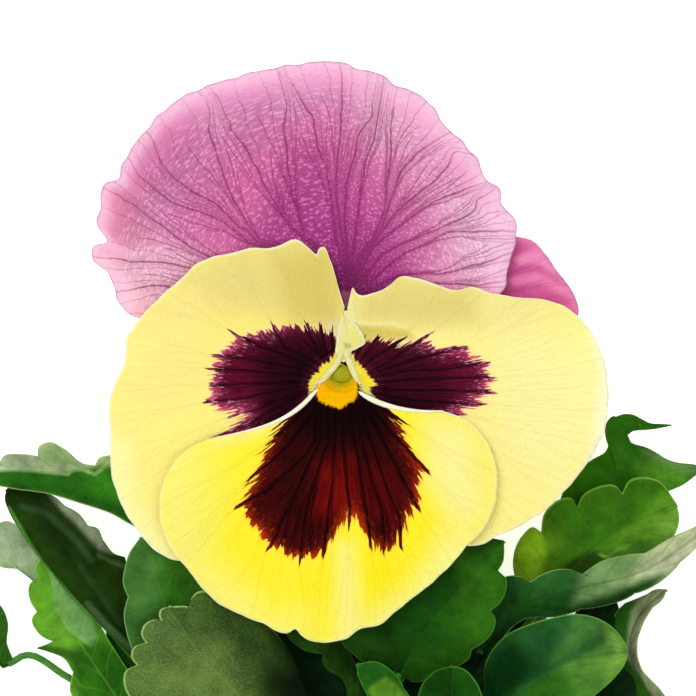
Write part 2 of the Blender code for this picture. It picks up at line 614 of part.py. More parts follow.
def build_calyx(carrier):
    """The knob with its sepals, each of which runs on behind it as a blunt flap."""
    material = plain_material("calyx", STEM_GREEN)
    calyx = turned_body("calyx", KNOB_OUTLINE, material, carrier)
    sepals = []
    for number, (angle, reach) in enumerate(SEPALS, 1):
        out = bearing(angle)
        sepals.append(blade(
            f"sepal_{number}", SEPAL_ROWS, 4,
            lambda across, along, out=out, reach=reach: sepal_point(out, reach, across, along),
            SEPAL_THICKNESS, material, carrier,
        ))
    join_to(calyx, sepals)


def build_pistil(carrier):
    """Ovary, style and the round stigma that fills the throat."""
    material = plain_material("pistil", STIGMA_GREEN)
    ovary_middle = (*KNOB_CENTRE, KNOB_TOP + SEAT_GAP + OVARY_HALF_SIZE[2])
    ovary = ball("pistil", ovary_middle, OVARY_HALF_SIZE, material, carrier)
    style = as_mesh(tube("style", STYLE_ROUTE, STYLE_RADIUS, material, carrier))
    stigma = ball("stigma", STIGMA_MIDDLE, STIGMA_HALF_SIZE, material, carrier)
    join_to(ovary, [style, stigma])


def build_stamens(carrier):
    """The anthers, which stand side by side round the ovary on one ring."""
    material = plain_material("stamens", ANTHER_ORANGE)
    ring = turned_body("stamens", STAMEN_RING, material, carrier)
    anthers = []
    for number in range(ANTHER_COUNT):
        middle = (*round_knob(ANTHER_DISTANCE, 90 + 360 * number / ANTHER_COUNT), STAMEN_FOOT + ANTHER_RISE)
        anthers.append(ball(f"anther_{number + 1}", middle, ANTHER_HALF_SIZE, material, carrier, 6, 6))
    join_to(ring, anthers)


def build_stalk(carrier):
    """The bare flower stalk: hooked under the bloom, then along the table to the top of the shoot."""
    points = [curve_point(STALK_ROUTE, step / STALK_STEPS)[0] for step in range(STALK_STEPS + 1)]
    tube("flower_stalk", points, STALK_RADIUS, plain_material("flower_stalk", STEM_GREEN), carrier)


def shoot_point(y):
    """The middle of the leafy shoot at this y, where it lies on the table."""
    gone = (SHOOT_TOP_Y - y) / (SHOOT_TOP_Y - SHOOT_CUT_Y)
    return np.array([SHOOT_TOP_X + SHOOT_LEAN * gone + SHOOT_BOW * math.sin(math.pi * gone), y, SHOOT_RADIUS])


def build_shoot(carrier):
    """The leafy shoot, which lies along the table."""
    length = SHOOT_TOP_Y - SHOOT_CUT_Y
    points = [shoot_point(SHOOT_TOP_Y - length * step / SHOOT_STEPS) for step in range(SHOOT_STEPS + 1)]
    tube("leafy_shoot", points, SHOOT_RADIUS, plain_material("leafy_shoot", STEM_GREEN), carrier, 3)


def corner_rows(lengths, corners):
    """The row of the blade that each sharp corner of a margin falls on, no two on the same one."""
    rows = [round(lengths[i] / lengths[-1] * BLADE_ROWS) for i in corners]
    for k in range(1, len(rows)):
        rows[k] = max(rows[k], rows[k - 1] + 1)
    for k in range(len(rows)):
        rows[k] = min(rows[k], BLADE_ROWS - (len(rows) - 1 - k))
    return rows


def margin_rows(points, tip, teeth, midrib):
    """The margin's place at every row of the blade: sharp at its notches, smooth between them."""
    line = [from_picture(point) for point in points] + [tip]
    corners = [0] + [i for i, point in enumerate(points) if NOTCH in point[3:]] + [len(line) - 1]
    rows = corner_rows(distances_along(line), corners)
    placed = []
    for k in range(len(corners) - 1):
        piece = line[corners[k]:corners[k + 1] + 1]
        count = rows[k + 1] - rows[k]
        placed += [curve_point(piece, step / count)[0] for step in range(count)]
    placed.append(line[-1])
    if teeth:
        for row in range(1, BLADE_ROWS):
            crest = abs(math.sin(math.pi * teeth * row / BLADE_ROWS)) ** TOOTH_ROUNDNESS
            placed[row] = placed[row] + (midrib[row] - placed[row]) * TOOTH_DEPTH * (1.0 - crest)
    return placed


def build_leaf(leaf, carrier):
    """A leaf on its stalk, in one piece: the stalk is the blade drawn in and thickened."""
    out = np.array([math.cos(math.radians(leaf.leaves_at)), 0.0, math.sin(math.radians(leaf.leaves_at))])
    start = shoot_point(leaf.node_y) + out * (SHOOT_RADIUS + SEAT_GAP)
    route = [start, start + out * PETIOLE_START, *leaf.stalk, *map(from_picture, leaf.midrib)]
    lengths = distances_along(route)
    foot_share = lengths[-len(leaf.midrib)] / lengths[-1]
    stalk_rows = PETIOLE_ROWS + 2 * len(leaf.stalk)
    rows = stalk_rows + BLADE_ROWS
    shares = [foot_share + (1 - foot_share) * row / BLADE_ROWS for row in range(BLADE_ROWS + 1)]
    midrib = [curve_point(route, share)[0] for share in shares]
    left = margin_rows(leaf.left, route[-1], leaf.teeth_left, midrib)
    right = margin_rows(leaf.right, route[-1], leaf.teeth_right, midrib)
    sideways = (left[-3] - right[-3]) / np.linalg.norm(left[-3] - right[-3])
    left[-1], right[-1] = left[-1] + sideways * TIP_HALF_WIDTH, right[-1] - sideways * TIP_HALF_WIDTH

    def on_blade(row, t):
        middle, edge = midrib[row], (left if t < 0 else right)[row]
        bulge = leaf.arch * float(np.linalg.norm(edge - middle)) * 4 * abs(t) * (1 - abs(t))
        point = middle + (edge - middle) * abs(t) + np.array([0.0, 0.0, bulge])
        return point[0], point[1], max(point[2], LEAF_THICKNESS / 2)

    def on_stalk(row, t):
        point, heading = curve_point(route, foot_share * row / stalk_rows)
        side = np.cross(heading, (0.0, 0.0, 1.0))
        if np.linalg.norm(side) < 0.2 * np.linalg.norm(heading):
            side = np.array([out[2], 0.0, -out[0]])
        point = point + side / np.linalg.norm(side) * t * PETIOLE_WIDTH / 2
        return point[0], point[1], max(point[2], PETIOLE_THICKNESS / 2)

    def place(across, along):
        row = round(along * rows)
        t = across * 2 - 1
        return on_blade(row - stalk_rows, t) if row >= stalk_rows else on_stalk(row, t)

    def thick_share(along):
        return 1.0 if round(along * rows) <= stalk_rows else LEAF_THICKNESS / PETIOLE_THICKNESS

    material = plain_material(leaf.name, LEAF_GREEN)
    blade(leaf.name, rows, 4, place, PETIOLE_THICKNESS, material, carrier, thick_share)


def build_pansy():
    """Builds every piece on the empty that stands for the middle of the bloom."""
    carrier = bpy.data.objects.new("bloom_centre", None)
    PANSY.objects.link(carrier)
    carrier.location = Vector(BLOOM_CENTRE) * MM
    bpy.context.view_layer.update()
    for petal in PETALS:
        build_petal(petal, carrier)
    add_spur(bpy.data.objects["petal_lower"], carrier)
    build_calyx(carrier)
    build_pistil(carrier)
    build_stamens(carrier)
    build_stalk(carrier)
    build_shoot(carrier)
    for leaf in LEAVES:
        build_leaf(leaf, carrier)


clear_scene()
PANSY = new_collection("pansy")
HELPERS = new_collection("helpers")
HELPERS.hide_render = True
build_pansy()
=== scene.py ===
"""Looks for a picked pansy that lies face up on a pale table: petals, throat, leaves and stalks.

Sizes are millimetres in the bloom's own frame, whose origin is the middle of the throat on the table. The
leaves' lines, and the outlines of coloured areas, were measured in a photograph taken from straight above,
and are given as picture columns and rows.
"""

import logging
import math
from dataclasses import dataclass, field
from enum import Enum

import bpy
import numpy as np
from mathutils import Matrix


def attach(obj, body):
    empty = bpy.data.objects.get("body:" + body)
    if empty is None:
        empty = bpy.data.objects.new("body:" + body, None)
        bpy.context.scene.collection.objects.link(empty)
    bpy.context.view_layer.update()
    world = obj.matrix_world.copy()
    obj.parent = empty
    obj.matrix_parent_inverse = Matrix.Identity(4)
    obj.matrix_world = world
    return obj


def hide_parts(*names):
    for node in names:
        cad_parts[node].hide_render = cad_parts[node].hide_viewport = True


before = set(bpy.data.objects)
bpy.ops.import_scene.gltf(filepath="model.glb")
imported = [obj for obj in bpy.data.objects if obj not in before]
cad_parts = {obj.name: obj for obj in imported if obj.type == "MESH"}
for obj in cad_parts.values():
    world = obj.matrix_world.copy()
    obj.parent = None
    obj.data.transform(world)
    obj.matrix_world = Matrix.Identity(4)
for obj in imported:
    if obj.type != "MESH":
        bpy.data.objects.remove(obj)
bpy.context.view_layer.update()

log = logging.getLogger("pansy")

MM = 0.001
BLOOM_CENTRE = np.array([-0.1, 23.7, 0.0])
BODY = "root"

# The photograph: the bloom's length in it sets the scale at the height of the face, its camera stands above
BLOOM_LENGTH = 80.64
BLOOM_LENGTH_IN_PIXELS = 576
MM_PER_PIXEL = BLOOM_LENGTH / BLOOM_LENGTH_IN_PIXELS
PICTURE_SIDE = 696
PICTURE_MIDDLE = PICTURE_SIDE / 2
PICTURE_MIDDLE_IN_BLOOM = (0.84, 3.92)
FACE_HEIGHT = 17.0
CAMERA_ABOVE_FACE = 480.0
SENSOR = 36.0

# The knob behind the bloom, on which petals, pistil and stamens stand
KNOB_CENTRE = np.array([0.0, 0.7])
KNOB_TOP = 11.0
SEAT_GAP = 0.3
PETAL_FOOT = KNOB_TOP + SEAT_GAP + 0.31

# The waves of the whole face, as counts round the bloom with a height and a phase
FACE_FALL = 0.0022
SWELL_REACH = 36.0
SWELL = ((5, 0.55, 1.0), (8, 0.30, 2.2))

# The stalk and the shoot
STALK_RADIUS = 0.9
SHOOT_RADIUS = 1.35
SHOOT_TOP_Y = -46.0
SHOOT_CUT_Y = -92.0
SHOOT_TOP_X = 1.2
SHOOT_LEAN = 2.6
SHOOT_BOW = 1.2
STALK_ROUTE = (
    (0.0, 0.75, 7.7), (0.0, 1.1, 6.2), (0.0, 2.5, 4.2), (0.0, 2.3, 2.4), (0.0, 1.0, 1.35),
    (0.0, -1.0, 0.96), (0.0, -3.5, 0.9), (0.0, -14.0, 0.9), (0.4, -28.0, 1.0), (0.8, -38.0, 1.2),
    (1.2, -45.7, 1.35),
)

# Leaves
BLADE_ROWS = 15
FINE_ROWS = 6
TIP_HALF_WIDTH = 0.3
TOOTH_DEPTH = 0.12
TOOTH_ROUNDNESS = 0.6
PETIOLE_START = 1.6
NOTCH = True

# What a piece carries at its corners for its material. Blank marks are 0
VECTOR_MARKS = ("ray", "reach")
COLOUR_MARKS = ("paint", "stain")

Point = tuple[float, ...]
Socket = bpy.types.NodeSocket


def hex_to_linear(code: str) -> tuple[float, float, float, float]:
    """Turns an sRGB hex colour to linear light.

    Args:
        code: The colour, such as "#F2C94C".

    Returns:
        Red, green, blue and an alpha of 1.
    """
    values = [int(code[i:i + 2], 16) / 255 for i in (1, 3, 5)]
    linear = [v / 12.92 if v <= 0.04045 else ((v + 0.055) / 1.055) ** 2.4 for v in values]
    return (linear[0], linear[1], linear[2], 1.0)


def rgb(code: str) -> np.ndarray:
    """Red, green and blue of an sRGB hex colour in linear light, for painting."""
    return np.array(hex_to_linear(code)[:3])


def smoothstep(low: float, high: float, value: np.ndarray) -> np.ndarray:
    """0 below low, 1 above high, smooth between.

    Args:
        low: Where the rise starts.
        high: Where it ends.
        value: The values to map.

    Returns:
        The shares.
    """
    held = np.clip((value - low) / (high - low), 0.0, 1.0)
    return held * held * (3.0 - 2.0 * held)


def from_picture(point: Point) -> np.ndarray:
    """Where a point measured in the photograph lies in the bloom's frame.

    Args:
        point: Column, row and height in millimetres.

    Returns:
        The place in millimetres.
    """
    column, row, height = point[:3]
    scale = MM_PER_PIXEL * (CAMERA_ABOVE_FACE + FACE_HEIGHT - height) / CAMERA_ABOVE_FACE
    x = PICTURE_MIDDLE_IN_BLOOM[0] + (column - PICTURE_MIDDLE) * scale
    y = PICTURE_MIDDLE_IN_BLOOM[1] - (row - PICTURE_MIDDLE) * scale
    return np.array([x, y, height])


def to_picture(places: np.ndarray) -> np.ndarray:
    """Where places in the bloom's frame stand in the photograph.

    Args:
        places: Places in millimetres, the last axis being x, y and z.

    Returns:
        Their columns and rows.
    """
    scale = MM_PER_PIXEL * (CAMERA_ABOVE_FACE + FACE_HEIGHT - places[..., 2]) / CAMERA_ABOVE_FACE
    column = PICTURE_MIDDLE + (places[..., 0] - PICTURE_MIDDLE_IN_BLOOM[0]) / scale
    row = PICTURE_MIDDLE - (places[..., 1] - PICTURE_MIDDLE_IN_BLOOM[1]) / scale
    return np.stack([column, row], axis=-1)


def distances_along(points: np.ndarray) -> np.ndarray:
    """How far along the line through the points each of them is."""
    steps = np.linalg.norm(np.diff(np.asarray(points, float), axis=0), axis=1)
    return np.concatenate([[0.0], np.cumsum(steps)])


def curve_points(knots: np.ndarray, shares: np.ndarray) -> np.ndarray:
    """Points along a smooth curve through the knots.

    Args:
        knots: The points that the curve passes.
        shares: How far along the curve each wanted point is, from 0 to 1.

    Returns:
        One point for each share.
    """
    knots = np.asarray(knots, float)
    at = distances_along(knots)
    steps = np.diff(at)
    chords = np.diff(knots, axis=0) / steps[:, None]
    slopes = np.empty_like(knots)
    slopes[0], slopes[-1] = chords[0], chords[-1]
    before, after = steps[:-1, None], steps[1:, None]
    slopes[1:-1] = (chords[:-1] * after + chords[1:] * before) / (before + after)
    distance = np.clip(shares, 0.0, 1.0) * at[-1]
    k = np.clip(np.searchsorted(at, distance, side="right") - 1, 0, len(steps) - 1)
    h = steps[k][:, None]
    t = ((distance - at[k]) / steps[k])[:, None]
    return (
        (2 * t**3 - 3 * t**2 + 1) * knots[k]
        + (t**3 - 2 * t**2 + t) * h * slopes[k]
        + (3 * t**2 - 2 * t**3) * knots[k + 1]
        + (t**3 - t**2) * h * slopes[k + 1]
    )


def loop(outline: tuple[Point, ...], around: np.ndarray) -> np.ndarray:
    """Points on the closed smooth curve through an outline that was drawn in the photograph."""
    return curve_points(np.array([from_picture(p) for p in (*outline, outline[0])]), around)


def unit(vectors: np.ndarray) -> np.ndarray:
    """The vectors along the last axis at length 1."""
    lengths = np.linalg.norm(vectors, axis=-1, keepdims=True)
    return vectors / np.maximum(lengths, 1e-9)


def bearing(degrees: np.ndarray) -> np.ndarray:
    """The unit directions in plan at these bearings."""
    angle = np.radians(degrees)
    return np.stack([np.cos(angle), np.sin(angle)], axis=-1)


def outside_by(pixels: np.ndarray, outline: tuple[Point, ...]) -> np.ndarray:
    """How far points lie outside a closed outline, in millimetres of the bloom's face.

    Args:
        pixels: Points in the photograph.
        outline: The corners of the outline in the photograph.

    Returns:
        The distances, less than 0 inside.
    """
    corners = np.asarray(outline, float)
    inside = np.zeros(pixels.shape[:-1], bool)
    for first, last in zip(corners, np.roll(corners, -1, axis=0)):
        side = last - first
        spans = (first[1] > pixels[..., 1]) != (last[1] > pixels[..., 1])
        level = np.where(side[1] == 0.0, 1.0, side[1])
        meets = first[0] + side[0] * (pixels[..., 1] - first[1]) / level
        inside ^= spans & (pixels[..., 0] < meets)
    nearest = off_line(pixels, (*outline, outline[0]))
    return np.where(inside, -nearest, nearest)


def off_line(pixels: np.ndarray, line: tuple[Point, ...]) -> np.ndarray:
    """How far points lie from an open line, in millimetres of the bloom's face.

    Args:
        pixels: Points in the photograph.
        line: The points of the line in the photograph.

    Returns:
        The distances.
    """
    knots = np.asarray(line, float)
    nearest = np.full(pixels.shape[:-1], np.inf)
    for first, last in zip(knots[:-1], knots[1:]):
        side = last - first
        share = np.clip(((pixels - first) @ side) / (side @ side), 0.0, 1.0)
        nearest = np.minimum(nearest, np.linalg.norm(pixels - first - share[..., None] * side, axis=-1))
    return nearest * MM_PER_PIXEL


@dataclass(frozen=True)
class Patch:
    """An area of colour, outlined in the photograph. Its edge is soft for some millimetres to each side."""

    colour: str
    outline: tuple[Point, ...]
    soft: float = 1.0
    strength: float = 1.0

    def cover(self, pixels: np.ndarray) -> np.ndarray:
        """How much of its colour each point gets."""
        return self.strength * (1.0 - smoothstep(-self.soft, self.soft, outside_by(pixels, self.outline)))


@dataclass(frozen=True)
class Stroke:
    """A line of colour with soft sides, drawn in the photograph. Its width is the reach to each side."""

    colour: str
    line: tuple[Point, ...]
    width: float
    strength: float = 1.0

    def cover(self, pixels: np.ndarray) -> np.ndarray:
        """How much of its colour each point gets."""
        return self.strength * (1.0 - smoothstep(0.25 * self.width, self.width, off_line(pixels, self.line)))


def painted(ground: np.ndarray, pixels: np.ndarray, layers: tuple) -> np.ndarray:
    """Lays patches and strokes over a ground colour.

    Args:
        ground: The colour at each point, in linear light.
        pixels: Where each point stands in the photograph.
        layers: The patches and strokes, lowest first.

    Returns:
        The colours with the layers on them.
    """
    colours = ground
    for layer in layers:
        cover = layer.cover(pixels)[..., None]
        colours = colours * (1.0 - cover) + rgb(layer.colour) * cover
    return colours


class Slot(Enum):
    """The record's material slots."""

    MAUVE = "petal_mauve"
    ROSE = "petal_rose"
    SIDE = "petal_side"
    LOWER = "petal_lower"
    CALYX = "calyx"
    PISTIL = "pistil"
    STAMENS = "stamens"
    STEM = "stem"
    PALE_BACK = "leaf_pale_back"
    DARK = "leaf_dark"
    MID = "leaf_mid"
    BRIGHT = "leaf_bright"
    DOWNY = "leaf_downy"


class Maths(Enum):
    """The sums that a material's nodes do."""

    TIMES = "MULTIPLY"
    PLUS = "ADD"
    MINUS = "SUBTRACT"
    OVER = "DIVIDE"
    TIMES_PLUS = "MULTIPLY_ADD"
    MOST = "MAXIMUM"
    SIZE = "ABSOLUTE"
    SIGN = "SIGN"
    ROUND = "ROUND"


@dataclass
class Build:
    """Corners, faces and marks of one piece while it is put together."""

    corners: list[np.ndarray] = field(default_factory=list)
    faces: list[np.ndarray] = field(default_factory=list)
    marks: dict[str, list[np.ndarray]] = field(default_factory=dict)
    material_of: list[np.ndarray] = field(default_factory=list)
    count: int = 0

    def add(
        self, corners: np.ndarray, faces: np.ndarray, marks: dict[str, np.ndarray], material: int = 0
    ) -> None:
        """Adds a body.

        Args:
            corners: Its corners in millimetres in the bloom's frame.
            faces: Four corner numbers for each face, the last two alike in a triangle.
            marks: Vectors that its material reads, by name, one for each corner.
            material: The slot of its material.
        """
        self.corners.append(corners)
        self.faces.append(faces + self.count)
        self.material_of.append(np.full(len(faces), material))
        for name in VECTOR_MARKS + COLOUR_MARKS:
            self.marks.setdefault(name, []).append(marks.get(name, np.zeros((len(corners), 3))))
        self.count += len(corners)

    def add_blade(
        self, grid: np.ndarray, thickness: np.ndarray, marks: dict[str, np.ndarray], material: int = 0
    ) -> None:
        """Adds a thin closed blade about a grid of points.

        Args:
            grid: The middle surface, rows by columns.
            thickness: The thickness at each point.
            marks: Vectors for each point of the grid.
            material: The slot of its material.
        """
        rows, columns = grid.shape[:2]
        normal = unit(np.cross(np.gradient(grid, axis=1), np.gradient(grid, axis=0)))
        if normal[..., 2].mean() < 0:
            turned = {name: value[:, ::-1] for name, value in marks.items()}
            self.add_blade(grid[:, ::-1], thickness[:, ::-1], turned, material)
            return
        offset = normal * thickness[..., None] / 2
        corners = np.concatenate([(grid + offset).reshape(-1, 3), (grid - offset).reshape(-1, 3)])
        number = np.arange(rows * columns).reshape(rows, columns)
        around = [number[:-1, :-1], number[:-1, 1:], number[1:, 1:], number[1:, :-1]]
        top = np.stack(around, -1).reshape(-1, 4)
        rim = np.concatenate([number[0, :-1], number[:-1, -1], number[-1, :0:-1], number[:0:-1, 0]])
        following = np.roll(rim, -1)
        under = rows * columns
        sides = np.stack([following, rim, rim + under, following + under], -1)
        faces = np.concatenate([top, top[:, ::-1] + under, sides])
        doubled = {name: np.concatenate([value.reshape(-1, 3)] * 2) for name, value in marks.items()}
        self.add(corners, faces, doubled, material)

    def add_tube(
        self, line: np.ndarray, radii: np.ndarray, sides: int, material: int = 0, flatness: float = 1.0
    ) -> None:
        """Adds a round tube with closed ends along a line.

        Args:
            line: The points of its middle.
            radii: Its radius at each point.
            sides: How many sides it has.
            material: The slot of its material.
            flatness: Its height as a share of its width.
        """
        heading = unit(np.gradient(line, axis=0))
        upright = np.abs(heading[:, 2:3]) > 0.9
        up = np.where(upright, np.array([[0.0, 1.0, 0.0]]), np.array([[0.0, 0.0, 1.0]]))
        across = unit(np.cross(heading, up))
        for k in range(1, len(across)):
            if across[k] @ across[k - 1] < 0:
                across[k] = -across[k]
        lifted = np.cross(heading, across)
        turn = np.arange(sides) * 2 * math.pi / sides
        ring = across[:, None] * np.cos(turn)[:, None] + lifted[:, None] * np.sin(turn)[:, None] * flatness
        corners = line[:, None] + ring * radii[:, None, None]
        number = np.arange(len(line) * sides).reshape(len(line), sides)
        beside = np.roll(number, -1, axis=1)
        wall = np.stack([number[:-1], beside[:-1], beside[1:], number[1:]], -1).reshape(-1, 4)
        end = np.full(sides, len(line) * sides)
        first = np.stack([beside[0], number[0], end, end], -1)
        last = np.stack([number[-1], beside[-1], end + 1, end + 1], -1)
        points = np.concatenate([corners.reshape(-1, 3), line[:1], line[-1:]])
        self.add(points, np.concatenate([wall, first, last]), {}, material)

    def add_ball(
        self, middle: np.ndarray, half_size: Point, rings: int, sides: int, material: int = 0
    ) -> None:
        """Adds a rounded body.

        Args:
            middle: Its middle.
            half_size: Its half sizes along X, Y and Z.
            rings: How many rings it has between its poles.
            sides: How many sides it has.
            material: The slot of its material.
        """
        tilt = np.linspace(0.02, math.pi - 0.02, rings)[:, None]
        turn = (np.arange(sides) * 2 * math.pi / sides)[None]
        ring = [np.sin(tilt) * np.cos(turn), np.sin(tilt) * np.sin(turn), np.cos(tilt) + 0 * turn]
        shape = np.stack(ring, -1)
        corners = (np.asarray(middle) + shape * np.asarray(half_size)).reshape(-1, 3)
        number = np.arange(rings * sides).reshape(rings, sides)
        beside = np.roll(number, -1, axis=1)
        wall = np.stack([number[:-1], number[1:], beside[1:], beside[:-1]], -1).reshape(-1, 4)
        poles = np.asarray(middle) + np.array([[0, 0, half_size[2]], [0, 0, -half_size[2]]])
        crown = np.full(sides, rings * sides)
        top = np.stack([number[0], beside[0], crown, crown], -1)
        low = np.stack([beside[-1], number[-1], crown + 1, crown + 1], -1)
        self.add(np.concatenate([corners, poles]), np.concatenate([wall, top, low]), {}, material)

    def piece(
        self, name: str, materials: list[bpy.types.Material], slot: Slot, stands_for: tuple[str, ...] = ()
    ) -> None:
        """Makes the piece, and hands it to the frame.

        Args:
            name: The name of the piece.
            materials: Its materials, in the order of their slots.
            slot: The record's material slot; not used.
            stands_for: The CAD nodes that it replaces.
        """
        corners = (np.concatenate(self.corners) + BLOOM_CENTRE) * MM
        faces = np.concatenate(self.faces)
        mesh = bpy.data.meshes.new(name)
        lists = [list(f[:3]) if f[2] == f[3] else list(f) for f in faces.tolist()]
        mesh.from_pydata(corners.tolist(), [], lists)
        for mark, values in self.marks.items():
            flat = np.concatenate(values)
            if mark in COLOUR_MARKS:
                opaque = np.concatenate([flat, np.ones((len(flat), 1))], axis=1).astype(np.float32)
                mesh.attributes.new(mark, "FLOAT_COLOR", "POINT").data.foreach_set("color", opaque.ravel())
            else:
                layer = mesh.attributes.new(mark, "FLOAT_VECTOR", "POINT")
                layer.data.foreach_set("vector", flat.astype(np.float32).ravel())
        for material in materials:
            mesh.materials.append(material)
        mesh.polygons.foreach_set("material_index", np.concatenate(self.material_of).astype(np.int32))
        mesh.shade_smooth()
        made = bpy.data.objects.new(name, mesh)
        bpy.context.scene.collection.objects.link(made)
        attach(made, BODY)
        if stands_for:
            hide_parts(*stands_for)
        log.info("%s: %d corners, %d faces", name, len(corners), len(lists))


# Settings of a range that starts and ends gently
EASED = {"interpolation_type": "SMOOTHSTEP"}


class Graph:
    """The nodes of one material."""

    def __init__(self, name: str) -> None:
        """Starts an empty material with this name."""
        self.material = bpy.data.materials.new(name)
        self.material.use_nodes = True
        self.tree = self.material.node_tree
        self.tree.nodes.clear()

    def add(
        self, kind: str | Maths, inputs: tuple | dict = (), output: int | str = 0, **settings: object
    ) -> Socket:
        """Adds a node with its settings and links.

        Args:
            kind: The node's kind, without the words that all kinds start with, or a sum.
            inputs: Values and sockets for its inputs, in their order or by name.
            output: The output that is wanted.
            settings: The node's own settings.

        Returns:
            The output.
        """
        if isinstance(kind, Maths):
            kind, settings = "Math", {"operation": kind.value}
        node = self.tree.nodes.new("ShaderNode" + kind)
        for setting, value in settings.items():
            setattr(node, setting, value)
        for key, value in inputs.items() if isinstance(inputs, dict) else enumerate(inputs):
            if isinstance(value, bpy.types.NodeSocket):
                self.tree.links.new(value, node.inputs[key])
            elif value is not None:
                node.inputs[key].default_value = value
        return node.outputs[output]

    def marks(self, name: str) -> tuple[Socket, Socket, Socket]:
        """The three values of a vector that the mesh carries."""
        vector = self.add("Attribute", output="Vector", attribute_name=name)
        parts = self.add("SeparateXYZ", (vector,)).node
        return parts.outputs[0], parts.outputs[1], parts.outputs[2]

    def close(self, shader: Socket) -> bpy.types.Material:
        """Ends the material with this shader, and returns it."""
        node = self.tree.nodes.new("ShaderNodeOutputMaterial")
        self.tree.links.new(shader, node.inputs["Surface"])
        return self.material


@dataclass(frozen=True)
class Petal:
    """One petal: its claw on the knob, the way it fans out of the throat, its height and its outline in plan.

    Angles are bearings round the knob. Everything that has a first and a last value runs counter-clockwise.
    A steep petal climbs at once from its claw, the others rise gently. The sway bends the first edge.
    """

    name: str
    claw_radius: float
    claw_first: float
    claw_last: float
    throat_radius: float
    throat_first: float
    throat_last: float
    level: float
    rise_first: float
    rise_last: float
    steep: bool
    ruffle: float
    waves: float
    outline: tuple
    sway: float = 0.0

    def surface(self, across: np.ndarray, along: np.ndarray) -> np.ndarray:
        """The petal's middle surface.

        Args:
            across: Shares across the fan, counter-clockwise.
            along: Shares from the claw to the rim.

        Returns:
            Points in millimetres, one row for each share along.
        """
        edge = curve_points(self.outline, across)
        claw = KNOB_CENTRE + self.claw_radius * bearing(
            self.claw_first + across * (self.claw_last - self.claw_first)
        )
        throat = KNOB_CENTRE + self.throat_radius * bearing(
            self.throat_first + across * (self.throat_last - self.throat_first)
        )
        along = along[:, None, None]
        plan = claw * (1 - along) ** 2 + throat * 2 * along * (1 - along) + edge * along**2
        ray = unit(edge - claw)
        aside = np.stack([ray[:, 1], -ray[:, 0]], -1) * (1 - across[:, None]) ** 4
        plan = plan + aside * self.sway * np.sin(2 * math.pi * along**0.6)
        rise = self.rise_first + across * (self.rise_last - self.rise_first)
        gone = np.maximum(0.0, np.linalg.norm(plan - KNOB_CENTRE, axis=-1) - self.claw_radius) / rise
        lift = 1 - (1 - np.minimum(gone, 1)) ** 2 if self.steep else smoothstep(0.0, 1.0, gone)
        angle = np.arctan2(plan[..., 1], plan[..., 0])
        reach = np.linalg.norm(plan, axis=-1)
        waves = sum(height * np.sin(count * angle + phase) for count, height, phase in SWELL)
        face = self.level - FACE_FALL * reach**2 + (reach / SWELL_REACH) ** 3 * waves
        wave = self.ruffle * along[..., 0] ** 2.5 * np.sin(2 * math.pi * self.waves * across)
        height = PETAL_FOOT + (face - PETAL_FOOT) * lift + wave
        return np.concatenate([plan, height[..., None]], axis=-1)


@dataclass(frozen=True)
class Leaf:
    """One leaf: its seat on the shoot, then the lines of its midrib and of its two margins.

    The three lines are points in the photograph: column, row, and height in millimetres. The midrib runs from
    the foot of the blade to its tip, with the left margin on the left hand on the way. A margin point marked
    NOTCH is a sharp one. Margins with a count of teeth get even, shallow teeth.
    """

    name: str
    node_y: float
    leaves_at: float
    stalk: tuple
    midrib: tuple
    left: tuple
    right: tuple
    teeth_left: int = 0
    teeth_right: int = 0
    arch: float = 0.05


